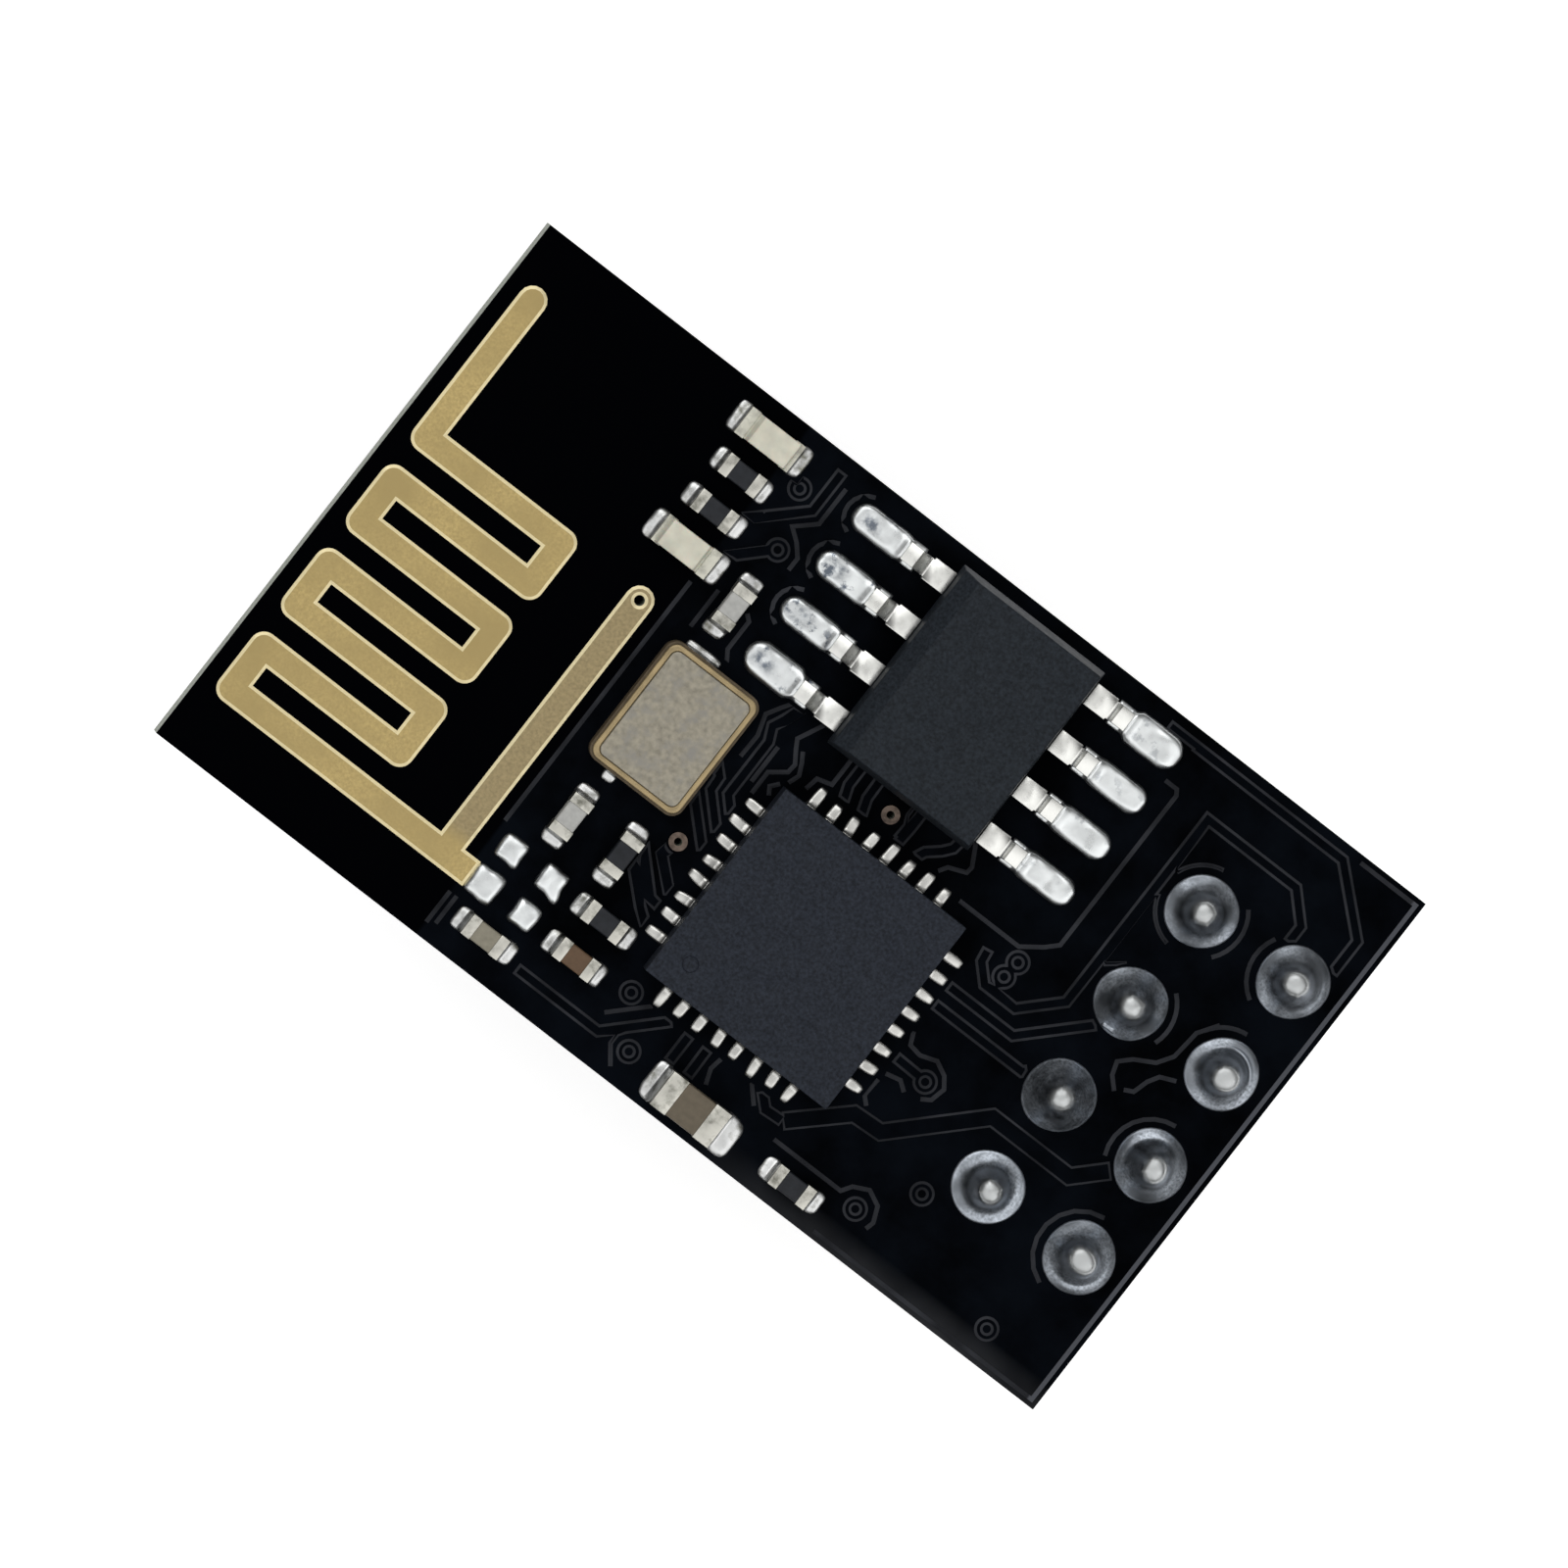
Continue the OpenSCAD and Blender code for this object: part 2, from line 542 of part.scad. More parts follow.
covered_vias = [
    radio_c + [3.95, -0.72],
    radio_c + [3.9, 2.15],
    radio_c + [3.95, 2.58],
    radio_c + [4.45, -3.85],
    radio_c + [-2.35, -3.1],
    radio_c + [-1.6, -4.15],
    header_c1 - [1.05, 1],
    header_c1 + [1.9, -2.47],
    lamp_c + [1.64, -1.8],
    lamp_c + [1.2, -0.45],
];
bare_vias = [radio_over(3) + [0, 0.38], radio_left(4) + [-0.52, 0.38]];
// Tracks on the lower face: a level run from the header, then a slanting one to a via
under_paths = [
    dogleg(under_end(0), covered_vias[4]),
    dogleg(under_end(1), bare_vias[1]),
    dogleg(under_end(2), bare_vias[0]),
    dogleg(under_end(3), covered_vias[8]),
    [covered_vias[6], covered_vias[3]],
    [covered_vias[5], [stub_u + antenna_w, covered_vias[5].y]],
];
function under_end(row) = [header_c.x - header_pitch, pin_site(0, row).y];
under_border = [
    [stub_u + antenna_w, border_inset],
    [board_l - border_inset, border_inset],
    [board_l - border_inset, board_w - border_inset],
    [stub_u + antenna_w, board_w - border_inset],
];
// Vias that carry the radio chip's heat to the lower face
heat_vias = [for (column = [-1 : 1], row = [-1 : 1]) radio_c + radio_size / 4 * [column, row]];

module board_frame() {
    translate([-header_c.x, -header_c.y, board_top])
        children();
}
module at_site(p, turn = 0) {
    board_frame()
        translate(p)
            rotate(turn)
                children();
}
module through_hole(d) {
    translate([0, 0, -board_t - overcut])
        cylinder(d = d, h = board_t + 2 * overcut);
}
module via_hole(d) {
    translate([0, 0, via_floor - board_t])
        cylinder(d = d, h = board_t + overcut);
}
// Solid between rings of equally many points, each at its own height
module loft(rings, heights) {
    n = len(rings[0]);
    top = n * (len(rings) - 1);
    polyhedron(
        [for (k = [0 : len(rings) - 1], p = rings[k]) [p.x, p.y, heights[k]]],
        concat(
            [[for (j = [0 : n - 1]) j], [for (j = [n - 1 : -1 : 0]) top + j]],
            [for (k = [0 : len(rings) - 2], j = [0 : n - 1])
                let (low = k * n, next = (j + 1) % n)
                [low + j, low + n + j, low + n + next, low + next]]
        )
    );
}
// Solder slope up to height rise on a wall at x = 0, with a film reaching under the part
module solder_slope(reach, width, rise, under) {
    slope = [for (k = [0 : slope_steps])
        let (t = k / slope_steps)
        [reach * (1 - t), film_t + (rise - film_t) * t * t]];
    rotate([90, 0, 0])
        linear_extrude(width, center = true)
            polygon(concat([[-under, 0], [reach, 0]], slope, [[0, film_t], [-under, film_t]]));
}
// Solder dome with a round front end at x = length and a flat back at x = 0
module solder_pool(length, width, height) {
    insets = [0, 0.04, 0.14, 0.28] * width;
    heights = [0, 0.5, 0.88, 1] * height;
    rings = [for (inset = insets)
        let (r = width / 2 - inset)
        concat([[0, -r]], arc([length - width / 2, 0], r, -90, 90), [[0, r]])];
    loft(rings, heights);
}
// Solder dome on a bare square pad
module solder_bead(side, height) {
    heights = [0, 0.55, 0.9, 1] * height;
    rings = [for (share = [1, 0.94, 0.76, 0.5])
        round_box(side * share, side * share, side * share * 0.3)];
    loft(rings, heights);
}

module circuit_board() {
    color([0.03, 0.03, 0.04])
        difference() {
            board_frame()
                translate([0, 0, -board_t])
                    cube([board_l, board_w, board_t]);
            for (p = pin_sites)
                at_site(p)
                    through_hole(pin_hole_d);
            for (p = bare_vias)
                at_site(p)
                    via_hole(via_hole_d);
            at_site(stub_via)
                via_hole(stub_via_d);
        }
}
// Areas of solder and bare metal, which the covered tracks keep clear of
module clear_box(at, l, w, turn = 0) {
    translate(at)
        rotate(turn)
            square([l + 2 * track_gap, w + 2 * track_gap], center = true);
}
module clear_areas() {
    lands = (radio_count - 1) * radio_pitch + radio_land_w;
    foot_l = lead_reach - lead_root_l - lead_slope;
    for (turn = [0, 90])
        clear_box(radio_c, 2 * radio_edge, lands, turn);
    for (site = lead_sites)
        clear_box(memory_c + [site[0] * (pool_reach - (pool_l + foot_l) / 2), site[1]], pool_l + foot_l,
            pool_w);
    for (p = parts)
        clear_box(p[1], p[3] + 2 * p[7], p[4], p[2]);
    clear_box(crystal_c, crystal_w, crystal_l);
    clear_box(crystal_c, crystal_solder_w, crystal_l + 2 * crystal_solder_reach);
    for (i = [0 : len(match_sites) - 1])
        clear_box(match_sites[i], match_sides[i], match_sides[i]);
    for (p = pin_sites)
        translate(p)
            circle(r = joint_r + track_gap);
    for (p = bare_vias)
        translate(p)
            circle(d = bare_via_d + 2 * track_gap);
}
module signal_tracks() {
    color([0.06, 0.06, 0.07])
        board_frame()
            linear_extrude(track_h)
                difference() {
                    union() {
                        for (track = tracks)
                            polygon(strip(track[1], track[0]));
                        for (p = covered_vias)
                            translate(p)
                                circle(d = covered_via_d);
                    }
                    clear_areas();
                    for (p = covered_vias)
                        translate(p)
                            circle(d = via_hole_d);
                }
}
module under_tracks() {
    vias = concat(covered_vias, bare_vias, heat_vias);
    color([0.06, 0.06, 0.07])
        board_frame()
            translate([0, 0, -board_t - track_h])
                linear_extrude(track_h)
                    difference() {
                        union() {
                            for (path = under_paths)
                                polygon(strip(path, track_w));
                            polygon(strip(under_border, line_w));
                            polygon(strip([under_border[0], under_border[3]], line_w));
                            for (p = vias)
                                translate(p)
                                    circle(d = covered_via_d);
                        }
                        clear_box(header_c, 2 * header_pitch, header_rows * header_pitch);
                        for (p = vias)
                            translate(p)
                                circle(d = via_hole_d);
                    }
}
module antenna() {
    color([0.7, 0.6, 0.38])
        board_frame()
            linear_extrude(antenna_h)
                difference() {
                    union() {
                        polygon(strip(meander, antenna_w, true, true));
                        polygon(strip([stub_via, [stub_u, feed_rise]], antenna_w, true, true));
                    }
                    translate(stub_via)
                        circle(d = stub_via_d);
                }
}
module bare_via_rings() {
    color([0.4, 0.24, 0.18])
        for (p = bare_vias)
            at_site(p)
                linear_extrude(track_h)
                    difference() {
                        circle(d = bare_via_d);
                        circle(d = via_hole_d);
                    }
}
module radio_chip() {
    mark = radio_mark_inset - radio_size / 2;
    color([0.16, 0.17, 0.2])
        at_site(radio_c)
            difference() {
                translate([-radio_size / 2, -radio_size / 2, film_t])
                    cube([radio_size, radio_size, radio_h]);
                translate([mark, mark, film_t + radio_h - track_h])
                    cylinder(d = radio_mark_d, h = overcut);
            }
}
module radio_terminals() {
    under = radio_land_reach * 0.8;
    color([0.8, 0.8, 0.78])
        for (turn = [0 : 90 : 270], i = [0 : radio_count - 1])
            at_site(radio_c, turn)
                translate([radio_size / 2, radio_offset(i), 0])
                    solder_slope(radio_land_reach, radio_land_w, radio_land_rise, under);
}
module memory_chip() {
    w = memory_w / 2;
    l = memory_l / 2;
    slant = memory_draft;
    across = [[-w + slant, memory_lift], [w - slant, memory_lift], [w, memory_parting],
        [w - slant, memory_h], [-w + slant + memory_bevel, memory_h],
        [-w + slant / 2, memory_h - memory_bevel]];
    along = [[-l + slant, memory_lift], [l - slant, memory_lift], [l, memory_parting],
        [l - slant, memory_h], [-l + slant, memory_h], [-l, memory_parting]];
    color([0.14, 0.15, 0.17])
        at_site(memory_c)
            intersection() {
                rotate([90, 0, 0])
                    linear_extrude(memory_l, center = true)
                        polygon(concat(across, [[-w, memory_parting]]));
                rotate([90, 0, 90])
                    linear_extrude(memory_w, center = true)
                        polygon(along);
            }
}
module memory_lead(i) {
    side = lead_sites[i][0];
    foot = film_t + lead_t / 2;
    root = [[0, memory_parting], [lead_root_l, memory_parting]];
    bend = concat(root, [[lead_root_l + lead_slope, foot], [lead_reach, foot]]);
    color([0.8, 0.8, 0.8])
        at_site(memory_c + [side * memory_w / 2, lead_sites[i][1]], side < 0 ? 180 : 0)
            rotate([90, 0, 0]) {
                linear_extrude(lead_w, center = true)
                    polygon(strip(bend, lead_t, true));
                linear_extrude(lead_root_w, center = true)
                    polygon(strip(root, lead_t));
            }
}
module memory_solder() {
    foot_l = lead_reach - lead_root_l - lead_slope;
    color([0.85, 0.86, 0.86])
        for (site = lead_sites)
            at_site(memory_c + [site[0] * (memory_w / 2 + lead_reach), site[1]], site[0] < 0 ? 180 : 0) {
                solder_pool(pool_l, pool_w, pool_h);
                translate([-foot_l, -pool_w / 2, 0])
                    cube([foot_l + track_gap, pool_w, film_t]);
            }
}
module crystal_base() {
    color([0.3, 0.24, 0.18])
        at_site(crystal_c)
            linear_extrude(crystal_base_h)
                polygon(round_box(crystal_w, crystal_l, crystal_round));
}
module crystal_ring() {
    w = crystal_w - 2 * crystal_step;
    l = crystal_l - 2 * crystal_step;
    color([0.74, 0.61, 0.36])
        at_site(crystal_c)
            translate([0, 0, crystal_base_h])
                linear_extrude(crystal_ring_h)
                    difference() {
                        polygon(round_box(w, l, crystal_round - crystal_step));
                        crystal_lid_outline();
                    }
}
module crystal_lid_outline() {
    edge = crystal_step + crystal_ring_w;
    polygon(round_box(crystal_w - 2 * edge, crystal_l - 2 * edge, crystal_round * 0.6));
}
module crystal_lid() {
    color([0.65, 0.62, 0.59])
        at_site(crystal_c)
            translate([0, 0, crystal_base_h])
                linear_extrude(crystal_ring_h + crystal_lid_rise)
                    crystal_lid_outline();
}
// Body of a small part inside its end terminals, without its colour
module part_core(p) {
    length = p[3] - 2 * cap_t;
    width = p[4] - 2 * cap_t;
    translate([-length / 2, -width / 2, film_t + cap_t])
        cube([length, width, p[5] - 2 * cap_t]);
}
module part_body(p) {
    color(p[8])
        at_site(p[1], p[2]) {
            part_core(p);
            if (is_lamp(p))
                lamp_lens(p);
        }
}
// Lens on a lamp's base, clear of the terminal at the lamp's first end
module lamp_lens(p) {
    low = film_t + p[5] - 2 * cap_t;
    high = film_t + p[5] + lamp_lens_h;
    first = p[6] + lamp_lens_gap - p[3] / 2;
    second = p[3] / 2 - lamp_lens_inset;
    rotate([90, 0, 0])
        linear_extrude(p[4] - 2 * cap_t, center = true)
            polygon([[first, low], [second, low], [second - lamp_lens_slope, high],
                [first + lamp_lens_slope, high]]);
}
module part_terminals(p) {
    color([0.82, 0.82, 0.8])
        at_site(p[1], p[2])
            difference() {
                for (side = [-1, 1])
                    translate([side * (p[3] - p[6]) / 2 - p[6] / 2, -p[4] / 2, film_t])
                        cube([p[6], p[4], p[5]]);
                part_core(p);
                if (is_lamp(p))
                    lamp_lens(p);
            }
}
module part_solder() {
    color([0.85, 0.86, 0.86]) {
        for (p = parts, turn = [0, 180])
            at_site(p[1], p[2] + turn)
                translate([p[3] / 2, 0, 0])
                    solder_slope(p[7], p[4], film_t + fillet_share * p[5], p[6]);
        for (side = [-1, 1])
            at_site(crystal_c, 90 * side)
                translate([crystal_l / 2, 0, 0])
                    solder_slope(crystal_solder_reach, crystal_solder_w, crystal_base_h / 2, 0);
    }
}
module antenna_solder() {
    color([0.85, 0.87, 0.88])
        for (i = [0 : len(match_sites) - 1])
            at_site(match_sites[i])
                solder_bead(match_sides[i], match_pad_h);
}
// Insulator outline: a straight edge for each pin, with notches between them
function insulator_side(count, reach) = [
    for (k = [0 : count - 1])
        let (start = (k - count / 2) * header_pitch)
        each concat(
            k > 0 ? [[reach - header_notch, start]] : [],
            [[reach, start + header_notch], [reach, start + header_pitch - header_notch]]
        )
];
function turned(list, angle) =
    [for (p = list) [p.x * cos(angle) - p.y * sin(angle), p.x * sin(angle) + p.y * cos(angle)]];
module header_body() {
    side = insulator_side(header_rows, header_pitch - header_trim);
    end = insulator_side(2, header_rows * header_pitch / 2 - header_trim);
    color([0.05, 0.05, 0.06])
        linear_extrude(header_h)
            difference() {
                polygon(concat(side, turned(end, 90), turned(side, 180), turned(end, 270)));
                for (p = pin_sites)
                    translate(p - header_c)
                        square(pin_w, center = true);
            }
}
module pin_shape() {
    w = pin_w / 2;
    low = -pin_l;
    high = board_top + pin_tail;
    right = [[w - pin_point, low], [w, low + pin_taper], [w, high - pin_nose], [w - pin_point, high]];
    profile = concat(right, reversed([for (p = right) [-p.x, p.y]]));
    intersection_for(turn = [0, 90])
        rotate([90, 0, turn])
            linear_extrude(pin_w, center = true)
                polygon(profile);
}
module header_pin(i) {
    color([0.8, 0.66, 0.34])
        translate(pin_sites[i] - header_c)
            pin_shape();
}
module header_solder() {
    above = max(joint_h - pin_tail + pin_nose, 0);
    neck = (pin_w / 2 - pin_point * above / pin_nose) * sqrt(2) + joint_neck;
    slope = [for (k = [0 : slope_steps])
        let (t = k / slope_steps)
        [joint_r - (joint_r - neck) * t, joint_rim + (joint_h - joint_rim) * t * t]];
    color([0.6, 0.62, 0.64])
        for (p = pin_sites)
            difference() {
                at_site(p)
                    rotate_extrude()
                        polygon(concat([[0, -board_t], [pin_hole_d / 2, -board_t], [pin_hole_d / 2, 0],
                            [joint_r, 0]], slope, [[0, joint_h]]));
                translate(p - header_c)
                    pin_shape();
            }
}

circuit_board();
signal_tracks();
under_tracks();
antenna();
bare_via_rings();
radio_chip();
radio_terminals();
memory_chip();
memory_solder();
crystal_base();
crystal_ring();
crystal_lid();
part_solder();
antenna_solder();
header_body();
header_solder();
for (i = [0 : len(lead_sites) - 1])
    memory_lead(i);
for (i = [0 : len(pin_sites) - 1])
    header_pin(i);
for (p = parts)
    part_body(p);
for (p = parts)
    part_terminals(p);
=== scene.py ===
import math
import random

import bmesh
import bpy
from mathutils import Matrix, Vector, noise
from mathutils.geometry import area_tri, intersect_line_line_2d, tessellate_polygon


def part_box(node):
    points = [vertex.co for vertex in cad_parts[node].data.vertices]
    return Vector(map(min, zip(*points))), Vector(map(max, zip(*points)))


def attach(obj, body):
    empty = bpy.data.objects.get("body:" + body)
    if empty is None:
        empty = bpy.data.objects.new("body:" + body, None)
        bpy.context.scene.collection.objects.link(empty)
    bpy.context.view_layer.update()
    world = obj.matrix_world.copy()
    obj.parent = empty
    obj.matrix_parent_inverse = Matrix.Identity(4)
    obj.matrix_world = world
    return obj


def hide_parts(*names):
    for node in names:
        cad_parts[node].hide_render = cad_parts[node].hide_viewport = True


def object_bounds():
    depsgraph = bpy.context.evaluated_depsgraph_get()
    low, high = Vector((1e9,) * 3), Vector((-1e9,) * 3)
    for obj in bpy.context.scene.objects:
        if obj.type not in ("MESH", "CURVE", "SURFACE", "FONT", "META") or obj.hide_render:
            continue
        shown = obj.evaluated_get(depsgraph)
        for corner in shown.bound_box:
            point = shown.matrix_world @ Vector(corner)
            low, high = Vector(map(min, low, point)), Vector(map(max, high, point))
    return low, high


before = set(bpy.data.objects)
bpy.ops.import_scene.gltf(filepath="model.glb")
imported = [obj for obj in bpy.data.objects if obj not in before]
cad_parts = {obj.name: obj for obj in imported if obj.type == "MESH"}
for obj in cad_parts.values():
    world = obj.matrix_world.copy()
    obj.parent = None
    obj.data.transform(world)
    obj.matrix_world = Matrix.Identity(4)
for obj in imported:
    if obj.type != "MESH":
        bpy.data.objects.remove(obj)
CAD_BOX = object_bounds()

bl_info = {
    "name": "Plug-in Wifi Module",
    "version": (1, 0, 0),
    "blender": (4, 5, 0),
    "location": "View3D > Sidebar > Module",
    "description": "Dresses the solids of a small plug-in wifi board and sets its studio",
    "category": "Object",
}

BODY = "root"
MM = 0.001
# Heights of the board's faces and of the covered tracks, in millimetres
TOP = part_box("circuit_board")[1].z / MM
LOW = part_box("circuit_board")[0].z / MM
TRACK_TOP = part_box("signal_tracks")[1].z / MM
# Points closer than this are one point, in millimetres
SAME_POINT = 0.0005
# Height of a header joint's rim, in millimetres
RIM = 0.03
# Facets that turn by less than this are one flat
SAME_FLAT = math.radians(0.5)
# Ranges of noise that a finish stretches to its full contrast
SOFT = (0.3, 0.7)
CLEAR = (0.35, 0.65)
PARTS = ("resistor_1", "resistor_2", "resistor_3", "resistor_4", "resistor_5",
         "capacitor_1", "capacitor_2", "capacitor_3", "capacitor_4", "capacitor_5",
         "lamp_1", "lamp_2")
LEADS = tuple("memory_lead_%d" % i for i in range(1, 9))
PINS = tuple("header_pin_%d" % i for i in range(1, 9))


def tint(name, description, default):
    """Colour property with a swatch."""
    return bpy.props.FloatVectorProperty(name=name, description=description, subtype="COLOR",
                                         size=3, min=0, max=1, default=default)


def length(name, description, default):
    """Length property in metres."""
    return bpy.props.FloatProperty(name=name, description=description, subtype="DISTANCE",
                                   unit="LENGTH", min=0, default=default, precision=6)


class ModuleColours(bpy.types.PropertyGroup):
    """Colours of the module's finishes."""
    mask: tint("Solder mask", "Dark coating over bare laminate", (0.0002, 0.0003, 0.0008))
    mask_pour: tint("Mask on copper", "Dark coating over the copper areas", (0.0017, 0.0024, 0.0038))
    # Colour of a painted sheen on the mask along one long edge, where light catches it
    mask_sheen: tint("Painted mask sheen", "Painted sheen along one long edge of the mask", (0.030, 0.031, 0.034))
    mask_edge_highlight: tint("Painted track edge highlight", "Painted highlight on the edges of the tracks and on the thin lines", (0.038, 0.040, 0.046))
    laminate: tint("Laminate", "Cut edge of the glass laminate", (0.46, 0.49, 0.42))
    gold: tint("Gold plating", "Bare antenna strip", (0.46, 0.345, 0.138))
    gold_rim_highlight: tint("Painted gold edge highlight", "Painted highlight on the rounded edge of the antenna strip", (1.0, 0.89, 0.56))
    gold_dull: tint("Dull gold", "Greyer plating of the shorting stub", (0.36, 0.283, 0.145))
    solder: tint("Solder", "Bright reflowed solder", (0.68, 0.70, 0.70))
    fillet: tint("Part solder", "Duller solder of the small parts", (0.60, 0.605, 0.60))
    land: tint("Chip solder", "Solder of the radio chip's terminals", (0.56, 0.555, 0.53))
    # Also the colour of the painted shade in the smudges along the middle of the memory pads
    flux: tint("Flux", "Dark residue on the memory chip's pads", (0.13, 0.15, 0.18))
    stain: tint("Stain", "Dull flux stain on the small parts' ends", (0.17, 0.168, 0.14))
    joint: tint("Header solder", "Greyer skirt of the header joints", (0.36, 0.39, 0.43))
    tin: tint("Tin plating", "Leads of the memory chip", (0.68, 0.68, 0.65))
    terminal: tint("Terminal", "Duller tin of the small parts", (0.52, 0.51, 0.46))
    radio: tint("Radio moulding", "Top of the radio chip", (0.0179, 0.0215, 0.0300))
    memory: tint("Memory moulding", "Top of the memory chip", (0.0151, 0.0190, 0.0243))
    lid: tint("Crystal lid", "Satin metal lid", (0.295, 0.27, 0.212))
    lid_cool: tint("Crystal lid patches", "Cooler patches of the lid", (0.253, 0.242, 0.216))
    ring: tint("Crystal ring", "Gold ring round the lid", (0.346, 0.265, 0.140))
    ceramic: tint("Crystal base", "Fired ceramic", (0.11, 0.085, 0.055))
    copper: tint("Copper", "Bare vias", (0.120, 0.090, 0.072))
    insulator: tint("Insulator", "Moulded header body", (0.012, 0.012, 0.013))
    lens: tint("Lamp lens", "Cast lens of the lamps", (0.66, 0.64, 0.53))
    lamp_end: tint("Lamp ends", "Pale plated ends of the lamps", (0.60, 0.59, 0.505))
    resistor: tint("Resistor", "Glazed top of the resistors", (0.016, 0.018, 0.022))
    capacitor_grey: tint("Grey capacitor", "Ceramic of the crystal's capacitors", (0.44, 0.44, 0.42))
    capacitor_tan: tint("Tan capacitor", "Ceramic of the supply capacitor", (0.135, 0.112, 0.080))
    capacitor_brown: tint("Brown capacitor", "Ceramic of the matching capacitor", (0.125, 0.077, 0.045))
    capacitor_beige: tint("Beige capacitor", "Ceramic of the feed capacitor", (0.26, 0.24, 0.185))
    floor: tint("Floor", "Plain pale floor", (0.80, 0.80, 0.80))


class ModuleSizes(bpy.types.PropertyGroup):
    """Sizes of the edges and of the stage."""
    chip_edge: length("Chip edge", "Rounding of the moulded chips", 0.035 * MM)
    metal_edge: length("Metal edge", "Rounding of leads and terminals", 0.025 * MM)
    part_edge: length("Part edge", "Rounding of the small parts", 0.045 * MM)
    plastic_edge: length("Insulator edge", "Rounding of the header's insulator", 0.06 * MM)
    track_slope: length("Track slope", "Width of the slope along a covered track", 0.06 * MM)
    antenna_slope: length("Antenna slope", "Width of the rounded edge of the antenna", 0.07 * MM)
    frame_width: length("View width", "Width of the view at the board", 34.2 * MM)
    focal: bpy.props.FloatProperty(name="Focal length", description="Long lens, in millimetres",
                                   default=600)
    sensor: bpy.props.FloatProperty(name="Sensor", description="Sensor width, in millimetres",
                                    default=36)
    floor_size: length("Floor size", "Side of the floor", 6.0)


def colours():
    """The colours that the panel shows."""
    return bpy.context.scene.module_colours


def sizes():
    """The sizes that the panel shows."""
    return bpy.context.scene.module_sizes


def shade(colour, share):
    """A colour made darker or lighter by a share."""
    return [c * share for c in colour]


class Finish:
    """A node material with helpers; places are read in millimetres of the module's frame."""

    def __init__(self, name, colour, metallic=0.0, roughness=0.5, specular=0.5):
        self.material = bpy.data.materials.new(name)
        self.material.use_nodes = True
        self.nodes = self.material.node_tree.nodes
        self.links = self.material.node_tree.links
        self.shader = self.nodes["Principled BSDF"]
        self.colour = tuple(colour) + (1.0,)
        self.shader.inputs["Base Color"].default_value = self.colour
        self.shader.inputs["Metallic"].default_value = metallic
        self.shader.inputs["Roughness"].default_value = roughness
        self.shader.inputs["Specular IOR Level"].default_value = specular
        self.roughness = roughness
        place = self.nodes.new("ShaderNodeTexCoord")
        scale = self.nodes.new("ShaderNodeVectorMath")
        scale.operation = "SCALE"
        scale.inputs["Scale"].default_value = 1 / MM
        self.links.new(place.outputs["Object"], scale.inputs[0])
        self.place = scale.outputs[0]

    def noise(self, scale, detail=3.0, roughness=0.5):
        """Cloud noise with scale features in a millimetre."""
        node = self.nodes.new("ShaderNodeTexNoise")
        node.inputs["Scale"].default_value = scale
        node.inputs["Detail"].default_value = detail
        node.inputs["Roughness"].default_value = roughness
        self.links.new(self.place, node.inputs["Vector"])
        return node.outputs["Fac"]

    def spread(self, value, low, high, to_low=0.0, to_high=1.0):
        """Stretches a range of values to another one."""
        node = self.nodes.new("ShaderNodeMapRange")
        ends = (("From Min", low), ("From Max", high), ("To Min", to_low), ("To Max", to_high))
        for socket, number in ends:
            node.inputs[socket].default_value = number
        self.links.new(value, node.inputs["Value"])
        return node.outputs["Result"]

    def feed(self, socket, value):
        """Gives a socket its number or colour, or a link to another socket."""
        if isinstance(value, bpy.types.NodeSocket):
            self.links.new(value, socket)
        elif isinstance(value, (int, float)):
            socket.default_value = value
        else:
            socket.default_value = tuple(value)[:3] + (1.0,)

    def mix(self, share, first, second):
        """Mix of two colours; either may be a socket."""
        node = self.nodes.new("ShaderNodeMix")
        node.data_type = "RGBA"
        self.links.new(share, node.inputs[0])
        self.feed(node.inputs[6], first)
        self.feed(node.inputs[7], second)
        return node.outputs[2]

    def combine(self, operation, first, second):
        """One value from two by a named operation; either may be a socket."""
        node = self.nodes.new("ShaderNodeMath")
        node.operation = operation
        self.feed(node.inputs[0], first)
        self.feed(node.inputs[1], second)
        return node.outputs[0]

    def axis(self, name, vector=None):
        """One coordinate of the place, or of another vector."""
        split = self.nodes.new("ShaderNodeSeparateXYZ")
        self.links.new(vector or self.place, split.inputs[0])
        return split.outputs[name]

    def upright(self, low, high):
        """Share that goes from 0 on faces turned up by less than low to 1 above high."""
        geometry = self.nodes.new("ShaderNodeNewGeometry")
        return self.spread(self.axis("Z", geometry.outputs["Normal"]), low, high)

    def height(self, low, high):
        """Share that goes from 0 at height low to 1 at height high, in millimetres."""
        return self.spread(self.axis("Z"), low, high)

    def paint(self, socket):
        """Takes the base colour from a socket."""
        self.links.new(socket, self.shader.inputs["Base Color"])

    def mottle(self, scale, depth, detail=3.0):
        """Light and dark patches of the base colour."""
        share = self.spread(self.noise(scale, detail), *SOFT)
        dark = shade(self.colour[:3], 1 - depth)
        light = [min(1.0, c) for c in shade(self.colour[:3], 1 + depth)]
        mixed = self.mix(share, dark, light)
        self.paint(mixed)
        return mixed

    def wear(self, scale, spread):
        """Roughness that varies over the surface."""
        least = max(0.02, self.roughness - spread)
        rough = self.spread(self.noise(scale, 4.0, 0.6), *SOFT, least, self.roughness + spread)
        self.links.new(rough, self.shader.inputs["Roughness"])

    def bump(self, layers):
        """Relief from layers of noise, each with its scale in features per millimetre and its depth."""
        total = None
        for scale, depth in layers:
            layer = self.combine("MULTIPLY", self.noise(scale), depth)
            total = layer if total is None else self.combine("ADD", total, layer)
        node = self.nodes.new("ShaderNodeBump")
        node.inputs["Strength"].default_value = 1.0
        node.inputs["Distance"].default_value = MM
        self.links.new(total, node.inputs["Height"])
        self.links.new(node.outputs["Normal"], self.shader.inputs["Normal"])


